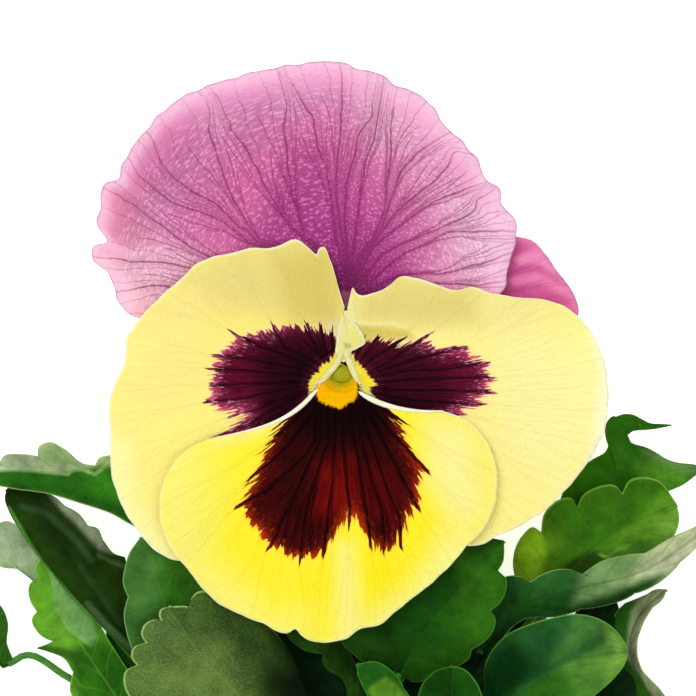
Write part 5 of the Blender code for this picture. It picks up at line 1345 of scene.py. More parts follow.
LEAF_LOOKS = {
    "leaf_far_left": LeafLook("#2A6A16", "#A6B78C", "#A9C078", "#2F7A1E", (
        Patch("#3B8A20", ((85, 470), (112, 455), (120, 500), (95, 500)), 1.6, 0.7),
        Patch("#7FA45A", ((36, 440), (66, 440), (80, 466), (40, 466)), 1.2, 0.7),
        Patch("#164A0C", ((10, 486), (60, 494), (130, 520), (130, 505), (60, 482)), 1.0, 0.5),
        Stroke("#A9C880", ((-4, 468), (30, 469), (50, 472), (68, 474), (73, 468), (84, 470), (95, 474),
            (108, 463)), 0.35, 0.75),
    ), slot=Slot.PALE_BACK),
    "leaf_left_long": LeafLook("#183502", "#1A3002", "#2F7A14", "#3C5A22", (
        Patch("#7E8A70", ((48, 494), (66, 500), (90, 521), (98, 528), (114, 553), (100, 550), (82, 530),
            (60, 508)), 0.5, 0.9),
        Patch("#2E5216", ((20, 505), (50, 515), (90, 560), (110, 600), (90, 600), (50, 560)), 2.0, 0.7),
        Patch("#0B1D02", ((40, 500), (80, 540), (110, 600), (150, 660), (120, 640), (60, 560), (20, 500)),
            1.6, 0.7),
        Stroke("#4A6A3A", ((98, 555), (110, 561), (124, 566)), 0.4, 0.6),
        Stroke("#3F5C34", ((22, 506), (46, 513), (72, 536), (92, 560)), 0.7, 0.35),
        Stroke("#52704A", ((88, 604), (106, 624), (130, 648)), 0.7, 0.45),
        Stroke("#32502A", ((80, 566), (104, 600), (122, 624)), 0.7, 0.35),
        Stroke("#4E8A30", ((10, 508), (32, 546), (44, 565), (66, 590), (88, 614), (112, 640), (130, 658)),
            0.35, 0.9),
    ), laterals=7.0, lean=3.6, slot=Slot.DARK),
    "leaf_left_low": LeafLook("#93B27E", "#9DB289", "#BFD09E", "#B4C698", slot=Slot.PALE_BACK),
    "leaf_left_bright": LeafLook("#5E9E26", "#4C8E1C", "#86C048", "#74B438", (
        Patch("#7AAC60", ((46, 560), (60, 572), (92, 620), (97, 636), (92, 646), (70, 630), (56, 606)), 0.4,
            0.9),
        Stroke("#96C66C", ((56, 608), (70, 630), (93, 647)), 0.3, 0.6),
        Patch("#1F600C", ((66, 652), (100, 640), (120, 650), (150, 690), (150, 720), (80, 700), (74, 672)),
            0.9, 0.85),
        Patch("#6CAC2C", ((34, 590), (56, 612), (72, 646), (54, 646), (32, 620)), 1.2, 0.7),
        Stroke("#2C5C12", ((36, 648), (60, 652), (76, 657), (92, 664)), 1.0, 0.85),
    ), slot=Slot.BRIGHT),
    "leaf_low_left": LeafLook("#1F4A0C", "#2C5C14", "#3F7A22", "#4F8F37"),
    "leaf_mid_left": LeafLook("#3E702A", "#2F6612", "#78AC66", "#4A8430", (
        Patch("#1D4F10", ((180, 575), (225, 595), (250, 640), (230, 640), (180, 600)), 2.0, 0.7),
        Patch("#4C8038", ((128, 570), (145, 545), (165, 560), (150, 620), (130, 625)), 1.8, 0.7),
        Patch("#1C5412", ((150, 600), (190, 620), (170, 680), (130, 650)), 2.0, 0.5),
    )),
    "leaf_front_left": LeafLook("#46662A", "#3C5A1E", "#A9CC6C", "#6C8438", (
        # The dark right part is painted shadow under the lower petal: two patches and a stroke
        Patch("#1C2F0A", ((248, 600), (355, 640), (350, 740), (262, 740), (250, 680)), 3.5, 0.8),
        Patch("#041202", ((274, 610), (360, 650), (350, 740), (290, 740), (268, 680)), 2.4, 0.97),
        Stroke("#041202", ((270, 622), (288, 646), (300, 670), (312, 704), (322, 744)), 2.2, 0.97),
        Patch("#627C32", ((140, 660), (220, 640), (245, 700), (160, 720)), 3.5, 0.7),
        Patch("#243E10", ((196, 585), (262, 606), (285, 670), (244, 660), (212, 624)), 2.4, 0.85),
    ), rim_width=0.42, hairy=0.55, slot=Slot.DOWNY),
    "leaf_mid_dark": LeafLook("#25480F", "#1F440D", "#3A6420", "#2A5416", (
        Patch("#2F5A1C", ((284, 632), (300, 636), (324, 645), (322, 656), (300, 650)), 0.8, 0.8),
        Patch("#132C06", ((330, 645), (345, 645), (357, 668), (360, 684), (345, 668)), 1.0, 0.8),
    ), slot=Slot.DARK),
    "leaf_front_right": LeafLook("#133A04", "#225506", "#4E8B28", "#2C6418", (
        Patch("#1F4A10", ((335, 630), (370, 630), (392, 655), (360, 670)), 2.0, 0.7),
        Patch("#164A0C", ((400, 590), (450, 570), (462, 640), (420, 665), (396, 640)), 3.0, 0.7),
        Patch("#3A7A18", ((462, 560), (502, 546), (506, 600), (486, 645), (470, 640)), 2.4, 0.7),
        Patch("#1A470C", ((395, 640), (440, 640), (460, 672), (400, 680)), 2.2, 0.6),
    )),
    "leaf_bud_bright": LeafLook("#1F5A11", "#1E5712", "#3F8A26", "#3C7F26", (
        Patch("#5C9020", ((368, 690), (376, 682), (386, 677), (396, 684), (406, 696), (398, 716), (376, 704)),
            0.4, 0.92),
    ), slot=Slot.BRIGHT),
    "leaf_bud_round": LeafLook("#113F04", "#164A08", "#5BAA36", "#2F7A1C", rim_width=0.3),
    "leaf_oval": LeafLook("#1E5422", "#2E6A16", "#6FA83C", "#3A7A30", (
        Patch("#022806", ((470, 680), (490, 650), (512, 634), (540, 668), (520, 700), (490, 740)), 2.6, 0.97),
        # A painted sheen along the top edge
        Patch("#235C2A", ((520, 630), (560, 616), (585, 616), (560, 645), (535, 655)), 2.0, 0.7),
        Patch("#4A7C34", ((575, 613), (600, 618), (620, 636), (590, 636), (560, 652)), 1.6, 0.8),
        Patch("#86B84A", ((606, 624), (624, 642), (628, 660), (606, 682), (600, 664), (612, 650)), 1.4, 0.9),
        Patch("#62963A", ((560, 664), (606, 646), (608, 680), (580, 706)), 2.2, 0.8),
        Patch("#2E6A16", ((510, 700), (560, 676), (590, 680), (550, 735), (500, 750)), 2.2, 0.7),
        Stroke("#1F5326", ((520, 690), (545, 672), (570, 656), (600, 640)), 0.9, 0.6),
    ), laterals=3.0, lean=7.0, slot=Slot.DARK),
    "leaf_right_long": LeafLook("#2C6326", "#1B4F1A", "#8AA562", "#26481C", (
        Patch("#749A5A", ((582, 574), (600, 558), (650, 545), (720, 512), (720, 560), (640, 592), (574, 604)),
            1.2, 0.92),
        Patch("#C6D0A0", ((645, 552), (700, 515), (720, 520), (704, 552), (668, 572), (630, 584)), 1.2, 0.9),
        Patch("#8FA46A", ((600, 590), (650, 556), (668, 545), (664, 552), (622, 584)), 0.5, 0.7),
        Patch("#DDE0C0", ((652, 572), (680, 552), (696, 540), (690, 550), (664, 570)), 0.8, 0.6),
        # A painted shadow: the dark strip along the lower margin
        Patch("#123C0C", ((556, 612), (590, 602), (616, 592), (640, 580), (662, 575), (650, 590), (606, 616)),
            0.9, 0.97),
        Patch("#1A4A14", ((500, 580), (540, 590), (560, 606), (510, 620)), 2.4, 0.7),
    ), rim_width=0.24, laterals=7.0, lean=3.4, slot=Slot.PALE_BACK),
    "leaf_right_broad": LeafLook("#37700F", "#397416", "#74A83E", "#447F1C", (
        Patch("#4E7E16", ((540, 520), (560, 520), (572, 550), (556, 580), (540, 580)), 1.8, 0.8),
        Patch("#7FAE1C", ((505, 540), (530, 522), (541, 531), (546, 545), (545, 560), (538, 580), (515, 590)),
            0.7, 0.95),
        Patch("#5E9422", ((601, 555), (622, 530), (646, 512), (662, 490), (680, 495), (682, 532), (662, 542),
            (640, 541), (618, 552)), 1.0, 0.92),
        Patch("#86B646", ((656, 520), (676, 515), (682, 532), (662, 540)), 1.4, 0.7),
        Patch("#4A7F2E", ((606, 558), (636, 545), (658, 537), (664, 540), (640, 552), (612, 562)), 0.6, 0.95),
        # Painted shade in the dark wedge under the lobe
        Patch("#233F0C", ((558, 572), (574, 558), (586, 552), (596, 550), (606, 558), (586, 574), (570, 584)),
            0.6, 0.95),
        Stroke("#86BE3C", ((601, 555), (606, 557), (614, 552), (630, 544)), 0.4, 0.6),
    ), rim_width=0.42, slot=Slot.BRIGHT),
    "leaf_far_right": LeafLook("#2C680E", "#2F6B11", "#4F8A26", "#3F7F1E", (
        Patch("#7A9A62", ((645, 452), (700, 462), (700, 475), (668, 468)), 1.2, 0.7),
        Patch("#5D9A26", ((640, 462), (672, 466), (690, 480), (668, 492), (640, 480)), 1.6, 0.7),
    )),
    "young_leaf_left": LeafLook("#1F4C14", "#2C5A26", "#4A7A3E", "#3A6A2E", slot=Slot.DARK),
    "leaf_right_narrow": LeafLook("#245611", "#989979", "#8FA061", "#3C6A22", (
        Patch("#2C6412", ((622, 664), (640, 682), (660, 715), (640, 720), (610, 690)), 1.2, 0.8),
        Patch("#8F9C70", ((656, 588), (640, 598), (631, 612), (628, 635), (626, 654), (636, 670), (652, 690),
            (668, 712), (690, 720), (690, 580)), 0.5, 0.95),
        Patch("#6E6F58", ((640, 604), (650, 600), (640, 625), (634, 650), (640, 664), (630, 652), (634, 625)),
            0.7, 0.6),
    ), slot=Slot.PALE_BACK),
}
LEAF_LOBES = {
    "leaf_far_right": (
        ((615, 417, 2.7), (624, 414, 2.7), (634, 415, 2.8), (642, 419, 2.7), (650, 423, 2.6), (662, 424, 2.5),
         (673, 425, 2.4), (661, 428, 2.5), (647, 430, 2.6), (634, 431, 2.6), (627, 433, 2.6), (623, 438, 2.6),
         (615, 432, 2.7)),
    ),
}
# Young leaves deep between the others: real leaves, painted near black as painted shade
SHADED_YOUNG_LOOK = LeafLook("#07200A", "#0C2A0C", "#1A4416", "#153C12", laterals=5.0, slot=Slot.DARK)
YOUNG_LEAVES = (
    Leaf(
        "young_leaf_right_inner", -53.0, 30, (), ((430, 690, 3), (480, 650, 3), (530, 600, 2.4)),
        ((424, 682, 3), (440, 655, 3), (470, 622, 2.8), (505, 594, 2.6), (522, 592, 2.4)),
        ((437, 699, 3), (470, 690, 3), (510, 660, 2.8), (538, 625, 2.6), (540, 604, 2.4)),
        teeth_left=3, teeth_right=3,
    ),
    Leaf(
        "young_leaf_right_outer", -60.5, 20, (), ((520, 720, 2), (572, 660, 2.4), (616, 598, 2.2)),
        ((512, 712, 2), (535, 670, 2.4), (560, 630, 2.4), (588, 600, 2.2), (606, 592, 2.2)),
        ((528, 730, 2), (568, 712, 2.2), (600, 686, 2.2), (616, 650, 2.2), (621, 616, 2.2)),
        teeth_left=3, teeth_right=3,
    ),
    Leaf(
        "young_leaf_low_right", -68.5, 28, (), ((560, 770, 3.2), (600, 715, 3.6), (620, 664, 3.6)),
        ((550, 762, 3.2), (568, 722, 3.6), (592, 688, 3.6), (608, 666, 3.6)),
        ((571, 776, 3.2), (612, 742, 3.6), (634, 708, 3.6), (634, 678, 3.6)),
        teeth_left=2, teeth_right=2,
    ),
    Leaf(
        "young_leaf_middle", -48.5, 120, (), ((350, 722, 3.4), (328, 680, 3.4), (276, 618, 3.2)),
        ((343, 728, 3.4), (312, 705, 3.2), (282, 672, 3.2), (266, 640, 3.2), (264, 620, 3.2)),
        ((366, 716, 3.4), (372, 696, 3.4), (364, 656, 3.2), (336, 628, 3.2), (300, 612, 3.2)),
        teeth_left=2, teeth_right=2,
    ),
    Leaf(
        "young_leaf_under_bud", -56.5, 75, (), ((395, 735, 5), (375, 700, 5.4), (350, 664, 5.2)),
        ((387, 740, 5), (362, 715, 5.2), (344, 690, 5.2), (341, 670, 5.2)),
        ((424, 735, 5), (430, 700, 5.4), (420, 670, 5.4), (378, 650, 5.2)),
        teeth_left=2, teeth_right=2,
    ),
    Leaf(
        "young_leaf_behind_bud", -63.5, 60, (), ((440, 745, 7.4), (457, 700, 8), (486, 655, 8)),
        ((432, 740, 7.4), (428, 705, 8), (442, 672, 8), (468, 652, 8)),
        ((450, 752, 7.4), (482, 735, 8), (502, 692, 8), (501, 664, 8)),
        teeth_left=2, teeth_right=2,
    ),
    Leaf(
        "young_leaf_left", -59.5, 168, (), ((175, 722, 2.2), (145, 675, 2.4), (122, 620, 2.4)),
        ((166, 728, 2.2), (128, 695, 2.4), (108, 650, 2.4), (110, 622, 2.4)),
        ((184, 716, 2.2), (176, 672, 2.4), (155, 630, 2.4), (132, 612, 2.4)),
        teeth_left=3, teeth_right=3,
    ),
)


@dataclass(frozen=True)
class LeafSkin:
    """Living leaf: a waxy green skin over soft tissue, faintly glossy, with paler veins pressed into it."""

    name: str
    vein: str
    rim: str
    rim_width: float
    hairy: float
    down: str = "#A4BC7C"

    def build(self) -> bpy.types.Material:
        """Makes the material, and returns it."""
        g = Graph(self.name)
        lateral, off_midrib, cell = g.marks("ray")
        rim, along, _ = g.marks("reach")
        paint = g.add("Attribute", output="Color", attribute_name="paint")
        place = g.add("TexCoord", output="Object")
        stray = g.add("TexNoise", {"Vector": place, "Scale": 260.0, "Detail": 2.0})
        x = g.add(Maths.PLUS, (lateral, g.add("MapRange", (stray, 0.3, 0.7, -0.12, 0.12))))
        nearest = g.add(Maths.ROUND, (x,))
        off = g.add(Maths.SIZE, (g.add(Maths.MINUS, (x, nearest)),))
        mm = g.add(Maths.TIMES, (off, cell))
        lines = g.add("MapRange", (mm, 0.04, 0.26, 0.6, 0.0), **EASED)
        middle = g.add("MapRange", (off_midrib, 0.08, 0.34, 0.9, 0.0), **EASED)
        # The finest net of veins, with meshes 1.6 mm wide: real ones are half that
        net = g.add("TexVoronoi", {"Vector": place, "Scale": 620.0}, feature="DISTANCE_TO_EDGE")
        netting = g.add("MapRange", (net, 0.0, 0.09, 0.14, 0.0))
        veins = g.add(Maths.MOST, (g.add(Maths.MOST, (lines, netting)), middle))
        # Mottling in patches of 4 mm with finer grain inside, as quilted leaves have
        mottle = g.add("TexNoise", {"Vector": place, "Scale": 230.0, "Detail": 6.0, "Roughness": 0.66})
        tone = g.add("MapRange", (mottle, 0.32, 0.68, 0.55, 1.25))
        colour = g.add("VectorMath", (paint, tone), operation="MULTIPLY")
        # Veins, rim and down fade out where the paint is dark, so they stay hidden in the painted shade
        lit = g.add("MapRange", (paint, 0.01, 0.12, 0.0, 1.0))
        shown = g.add(Maths.TIMES, (g.add(Maths.TIMES, (veins, 0.34)), lit))
        colour = g.add("MixRGB", (shown, colour, hex_to_linear(self.vein)))
        edge = g.add("MapRange", (rim, 0.4 * self.rim_width, self.rim_width, 0.7, 0.0), **EASED)
        edge = g.add(Maths.TIMES, (edge, g.add("MapRange", (paint, 0.01, 0.07, 0.0, 1.0))))
        colour = g.add("MixRGB", (edge, colour, hex_to_linear(self.rim)))
        height = g.add(Maths.TIMES_PLUS, (veins, -1.0, g.add(Maths.TIMES, (mottle, 0.8))))
        if self.hairy > 0:
            # Down lies in three directions, as streaks 0.13 by 0.33 mm: real hairs are 0.05 mm thick
            hairs = []
            for turn in (0.5, 1.4, 2.5):
                lay = g.add("Mapping", {
                    "Vector": place, "Rotation": (0.0, 0.0, turn), "Scale": (3000.0, 7500.0, 3000.0),
                })
                strokes = g.add("TexNoise", {"Vector": lay, "Scale": 1.0, "Detail": 1.0})
                hairs.append(g.add("MapRange", (strokes, 0.56, 0.7, 0.0, 1.0)))
            fur = g.add(Maths.MOST, (g.add(Maths.MOST, (hairs[0], hairs[1])), hairs[2]))
            fur = g.add(Maths.TIMES, (g.add(Maths.TIMES, (fur, 0.42 * self.hairy)), lit))
            colour = g.add("MixRGB", (fur, colour, hex_to_linear(self.down)))
            height = g.add(Maths.TIMES_PLUS, (fur, 1.2, height))
        bump = g.add("Bump", {"Strength": 0.6, "Distance": 0.00015, "Height": height})
        shader = g.add("BsdfPrincipled", {
            "Base Color": colour, "Roughness": 0.48, "Normal": bump, "IOR": 1.4,
            "Specular IOR Level": 0.04,
        })
        return g.close(shader)


@dataclass(frozen=True)
class Tissue:
    """Soft plant tissue of one kind, such as stem, stigma or hair: dull and a little mottled."""

    name: str
    colour: str
    second: str
    roughness: float
    grain: float
    glow: float = 0.0

    def build(self) -> bpy.types.Material:
        """Makes the material, and returns it."""
        g = Graph(self.name)
        place = g.add("TexCoord", output="Object")
        noise = g.add("TexNoise", {"Vector": place, "Scale": 1000.0 / self.grain, "Detail": 3.0})
        share = g.add("MapRange", (noise, 0.35, 0.65, 0.0, 1.0))
        colour = g.add("MixRGB", (share, hex_to_linear(self.colour), hex_to_linear(self.second)))
        bump = g.add("Bump", {"Strength": 0.4, "Distance": 0.0001, "Height": noise})
        shader = g.add("BsdfPrincipled", {
            "Base Color": colour, "Roughness": self.roughness, "Normal": bump, "IOR": 1.4,
            "Specular IOR Level": 0.18, "Subsurface Weight": self.glow,
            "Subsurface Radius": (0.6, 0.5, 0.3), "Subsurface Scale": 0.0005,
        })
        return g.close(shader)


# Velvety mauve: cell tops painted pale with a painted highlight, creases painted darker as shade, and plum
# veins that bleed a little
MAUVE_SKIN = PetalSkin(
    "mauve_petal", vein="#8E1E62", vein_strength=0.7, vein_width=0.32, fork_from=13.0, fork_slope=0.032,
    crinkle=0.3, halo=0.2, painted_gleam=0.23,
)
# The same skin in shade behind the bloom: smoother, with few broad veins
REAR_SKIN = PetalSkin(
    "rose_petal", vein="#A8346F", vein_strength=0.35, vein_width=0.5, fork_from=20.0, fork_slope=0.02,
    crinkle=0.08,
)
# Thin pale yellow, almost smooth, with a maroon blotch that frays into strands and pink flecks
SIDE_SKIN = PetalSkin(
    "yellow_side_petal", vein="#CDB84E", vein_strength=0.07, vein_width=0.36, fork_from=16.0,
    fork_slope=0.03, crinkle=0.02, fringe="#CA3E68", beside_blotch="#F8D2AC", black="#100107", strand=0.8,
    spike=1.5, fringe_width=1.9, black_strength=0.7, fleck=0.8, fleck_colour="#E8A0B4",
)
# Warm egg yellow, with a red and black blotch and the yellow green eye at the throat
LOWER_SKIN = PetalSkin(
    "yellow_lower_petal", vein="#C9A81E", vein_strength=0.08, vein_width=0.42, fork_from=18.0,
    fork_slope=0.03, crinkle=0.02, fringe="#A02808", beside_blotch="#F6B83C", black="#070001",
    strand=0.75, spike=1.6, fringe_width=1.6, black_strength=0.8, fleck=0.5, fleck_colour="#A83A0A",
    eye="#F8B800", eye_inner="#9DA018",
)


@dataclass
class Bloom:
    """The five petals. A roll has its side, the share where it begins, and its greatest radius."""

    rays: int = 230
    steps: int = 150
    hidden_share: float = 0.5
    crowding: float = 1.25
    thickness: float = 0.32
    rim_thinning: float = 0.84
    rolls: tuple[tuple[int, float, float], ...] = ((0, 0.2, 0.30), (1, 0.16, 0.36))
    roll_lift: float = 0.16
    roll_tip: float = 0.03

    def build(self) -> None:
        """Builds and dresses every petal."""
        skins = {
            "petal_upper_left": (MAUVE_SKIN.build(), Slot.MAUVE),
            "petal_upper_right": (REAR_SKIN.build(), Slot.ROSE),
            "petal_side_left": (SIDE_SKIN.build(), Slot.SIDE),
            "petal_side_right": (SIDE_SKIN.build(), Slot.SIDE),
            "petal_lower": (LOWER_SKIN.build(), Slot.LOWER),
        }
        for petal in PETALS:
            build = Build()
            self.lay_petal(build, petal, PETAL_LOOKS[petal.name])
            materials = [skins[petal.name][0]]
            if petal.name == "petal_lower":
                materials.append(ROLLED_EDGE.build())
                self.roll_edges(build, petal)
            build.piece("bloom." + petal.name, materials, skins[petal.name][1], (petal.name,))

    def lay_petal(self, build: Build, petal: Petal, look: PetalLook) -> None:
        """Lays one petal with its marks.

        Args:
            build: What the petal is added to.
            petal: Its lines.
            look: What it wears.
        """
        share = self.hidden_share if petal.name == "petal_upper_right" else 1.0
        across = np.linspace(0.0, 1.0, round(self.rays * share) + 1)
        along = np.linspace(0.0, 1.0, round(self.steps * share) + 1) ** self.crowding
        grid = petal.surface(across, along)
        grid = self.frill(grid, along, look.frill)
        for line, height, width in look.folds:
            grid[..., 2] += height * np.exp(-(off_line(to_picture(grid), line) / width) ** 2)
        steps = np.linalg.norm(np.diff(grid, axis=0), axis=-1)
        to_rim = np.concatenate([np.cumsum(steps[::-1], axis=0)[::-1], np.zeros((1, len(across)))])
        thinner = self.rim_thinning * smoothstep(0.8, 1.0, along)
        thick = self.thickness * (1.0 - thinner)[:, None] + 0.0 * across
        build.add_blade(grid, thick, dress(grid, look, to_rim))

    def frill(self, grid: np.ndarray, along: np.ndarray, height: float) -> np.ndarray:
        """Gives the rim its small uneven waves.

        Args:
            grid: The petal's middle surface.
            along: Shares from claw to rim.
            height: How high and wide the waves are, in millimetres.

        Returns:
            The surface with waves.
        """
        arc = np.concatenate([[0.0], np.cumsum(np.linalg.norm(np.diff(grid[-1, :, :2], axis=0), axis=-1))])
        outer = along[:, None] ** 12
        ripple = np.sin(arc * 1.31 + 0.7 * np.sin(arc * 0.23)) + 0.7 * np.sin(arc * 2.17 + 1.3)
        lifted = grid.copy()
        outward = unit(grid[-1] - grid[-2])
        lifted += (outer * ripple * height * 0.6)[..., None] * outward
        lifted[..., 2] += outer * height * np.sin(arc * 0.9 + 2.0)
        return lifted

    def roll_edges(self, build: Build, petal: Petal) -> None:
        """Rolls the two edges of the lower petal beside the throat, as pale cords.

        Args:
            build: The lower petal.
            petal: Its lines.
        """
        for side, begins, most in self.rolls:
            line = petal.surface(np.array([float(side)] * 2), np.linspace(begins, 1.0, 70))[:, 0]
            if side:
                line = np.concatenate([line, petal.surface(np.linspace(0.998, 0.93, 16), np.ones(1))[0]])
            line = line + np.array([0.0, 0.0, self.roll_lift])
            share = np.linspace(0.0, 1.0, len(line))
            swelling = np.clip(np.sin(math.pi * share**0.6), 0.0, 1.0) ** 0.9
            radii = most * swelling * (1.2 - 0.75 * share) + self.roll_tip
            build.add_tube(line, radii, 12, 1, 0.8)


# Soft tissues: pale and slightly see-through where thin, dull where hairy, a little wet at the stigma
ROLLED_EDGE = Tissue("rolled_petal_edge", "#F8F5E2", "#EFE9C4", 0.5, 1.5, 0.1)
STIGMA = Tissue("green_stigma", "#A4A20E", "#989C0C", 0.42, 0.5, 0.15)
STYLE = Tissue("green_style", "#8FA32A", "#7C9426", 0.5, 0.8)
ANTHER = Tissue("orange_anther", "#C8741A", "#E09A2C", 0.6, 0.5)
BEARD = Tissue("petal_beard", "#F3F0DC", "#DFDDB8", 0.55, 0.4, 0.1)
RIDGE = Tissue("petal_ridge", "#E9E6B4", "#DCD98C", 0.5, 1.0, 0.1)
STEM = Tissue("green_stem", "#4F8A35", "#3B7429", 0.48, 1.6, 0.05)
CALYX = Tissue("green_sepal", "#3E7A2B", "#2F6522", 0.52, 1.2)
CUT = Tissue("cut_stem_end", "#C9D6A0", "#A9BC7C", 0.6, 0.4)


NECK_LOOK = PetalLook(RIGHT_VEINS, "#E4DC96", "#F2ECC4", 0.5, (
    Patch("#E9E27E", ((350, 322), (362, 333), (364, 344), (354, 349), (346, 345), (346, 330)), 0.4, 0.8),
    Patch("#A3AA4C", ((344, 343), (350, 344), (351, 347), (345, 348)), 0.3, 0.8),
))


@dataclass
class Throat:
    """What stands in the throat: pistil, anthers, the lip under the pistil, and the two ridges beside it."""

    seed: int = 7
    hairs: int = 170
    fewer_right: int = 90
    hair_radius: float = 0.07
    stigma: Point = (0.0, 0.25, 16.8)
    stigma_half: Point = (1.45, 1.2, 0.6)
    ovary: Point = (0.0, 0.7, 12.3)
    ovary_half: Point = (0.5, 0.5, 1.0)
    style: tuple[Point, ...] = ((0.0, 0.7, 12.6), (0.0, 0.7, 14.0), (0.0, 0.5, 15.2), (0.0, 0.3, 16.2))
    style_radius: float = 0.3
    anthers: int = 5
    anther_half: Point = (0.2, 0.2, 1.0)
    anther_height: float = 12.6
    ring_radius: float = 0.95
    ring_height: float = 11.65
    ring_thickness: float = 0.12
    lip_inner_radius: float = 1.2
    lip_inner_height: float = 16.72
    lip: tuple[Point, ...] = (
        (341, 363, 16.9), (347, 368, 17.1), (353, 376, 17.4), (359, 386, 17.7), (357, 394, 17.95),
        (350, 399, 18.0), (338, 401, 18.0), (325, 399, 18.0), (318, 394, 17.95), (315, 388, 17.7),
        (323, 381, 17.4), (331, 373, 17.2),
    )
    neck: tuple[Point, ...] = (
        (343, 311, 16.6), (349, 311, 16.6), (352, 320, 17.1), (358, 327, 17.25), (363, 335, 17.3),
        (365, 343, 17.3), (358, 348, 17.3), (351, 352, 17.3), (349, 358, 17.3), (344, 362, 17.2),
        (339, 360, 17.2), (336, 352, 17.1), (337, 342, 17.0), (338, 332, 16.9), (341, 320, 16.8),
    )
    left_ridge: tuple[Point, ...] = ((342, 352), (337, 363), (327, 375), (316, 389))
    right_ridge: tuple[Point, ...] = ((344, 350), (349, 361), (354, 373), (360, 386))
    ridge_height: float = 17.55
    left_pad: tuple[Point, ...] = (
        (343, 350, 17.2), (335, 364, 17.2), (326, 376, 17.2), (315, 390, 17.2), (308, 392, 17.05),
        (302, 388, 17.0), (303, 377, 17.05), (308, 370, 17.1), (317, 362, 17.05), (327, 355, 16.95),
        (334, 350, 16.95), (338, 346, 17.0),
    )
    right_pad: tuple[Point, ...] = (
        (344, 350, 17.2), (350, 361, 17.2), (355, 373, 17.2), (361, 388, 17.2), (368, 395, 17.05),
        (378, 394, 17.05), (386, 384, 17.05), (381, 374, 17.1), (373, 366, 17.1), (364, 358, 17.0),
        (354, 350, 16.95), (349, 347, 17.0),
    )

    def build(self) -> None:
        """Builds pistil, stamens, lip, neck and ridges."""
        self.build_pistil()
        self.build_stamens()
        self.build_lip()
        self.build_ridge("throat.ridge_left", "petal_side_left", self.left_ridge, 0)
        self.build_ridge("throat.ridge_right", "petal_side_right", self.right_ridge, 1)

    def build_pistil(self) -> None:
        """Ovary, style and the round stigma."""
        build = Build()
        build.add_ball(np.array(self.ovary), self.ovary_half, 16, 24, 1)
        line = curve_points(np.array(self.style), np.linspace(0, 1, 20))
        build.add_tube(line, np.full(len(line), self.style_radius), 12, 1)
        build.add_ball(np.array(self.stigma), self.stigma_half, 28, 44, 0)
        build.piece("throat.pistil", [STIGMA.build(), STYLE.build()], Slot.PISTIL, ("pistil",))

    def build_stamens(self) -> None:
        """Five anthers side by side round the ovary, on their ring."""
        build = Build()
        turn = np.linspace(0, 2 * math.pi, 49)
        ring = np.stack([
            KNOB_CENTRE[0] + self.ring_radius * np.cos(turn),
            KNOB_CENTRE[1] + self.ring_radius * np.sin(turn),
            np.full(len(turn), self.ring_height),
        ], -1)
        build.add_tube(ring, np.full(len(turn), self.ring_thickness), 8)
        for number in range(self.anthers):
            spot = KNOB_CENTRE + bearing(np.array(90 + 360.0 / self.anthers * number))
            build.add_ball(np.array([*spot, self.anther_height]), self.anther_half, 12, 14)
        build.piece("throat.stamens", [ANTHER.build()], Slot.STAMENS, ("stamens",))

    def build_lip(self) -> None:
        """The lower petal's yellow lip round the stigma, and the folded corner above it."""
        around = np.linspace(0, 1, 97)
        outer = loop(self.lip, around)
        inward = unit(outer[:, :2] - np.array(self.stigma[:2]))
        rim = np.array(self.stigma[:2]) + self.lip_inner_radius * inward
        inner = np.concatenate([rim, np.full((len(around), 1), self.lip_inner_height)], axis=1)
        build = Build()
        self.lay_pad(build, inner, outer, 0.12, PETAL_LOOKS["petal_lower"], 14, 9.0)
        build.piece("throat.lip", [LOWER_SKIN.build()], Slot.LOWER)
        for pad, name in ((self.left_pad, "left"), (self.right_pad, "right")):
            look = PETAL_LOOKS["petal_side_" + name]
            outer = loop(pad, around[::2])
            middle = outer.mean(axis=0)
            build = Build()
            self.lay_pad(build, middle + (outer - middle) * 0.02, outer, 0.05, look, 12, 9.0)
            build.piece("throat.pad_" + name, [SIDE_SKIN.build()], Slot.SIDE)
        outer = loop(self.neck, around)
        middle = np.array([*from_picture((348, 336, 17.5))[:2], 17.45])
        build = Build()
        self.lay_pad(build, middle + (outer - middle) * 0.02, outer, 0.08, NECK_LOOK, 24, 0.0)
        build.piece("throat.folded_corner", [SIDE_SKIN.build()], Slot.SIDE)

    def lay_pad(
        self, build: Build, inner: np.ndarray, outer: np.ndarray, dome: float, look: PetalLook, rings: int,
        spare: float,
    ) -> None:
        """Lays a thin curved pad between two closed curves.

        Args:
            build: What it is added to.
            inner: Points of the inner curve.
            outer: As many points of the outer curve.
            dome: How high it swells between them.
            look: What it wears.
            rings: How many rows of faces it has.
            spare: Added to its distance from the rim.
        """
        share = np.linspace(0, 1, rings + 1)[:, None, None]
        grid = inner + (outer - inner) * share
        grid[..., 2] += dome * np.sin(math.pi * share[..., 0])
        to_rim = (1 - share[..., 0]) * np.linalg.norm(outer - inner, axis=-1) + spare
        build.add_blade(grid, np.full(grid.shape[:2], 0.2), dress(grid, look, to_rim))

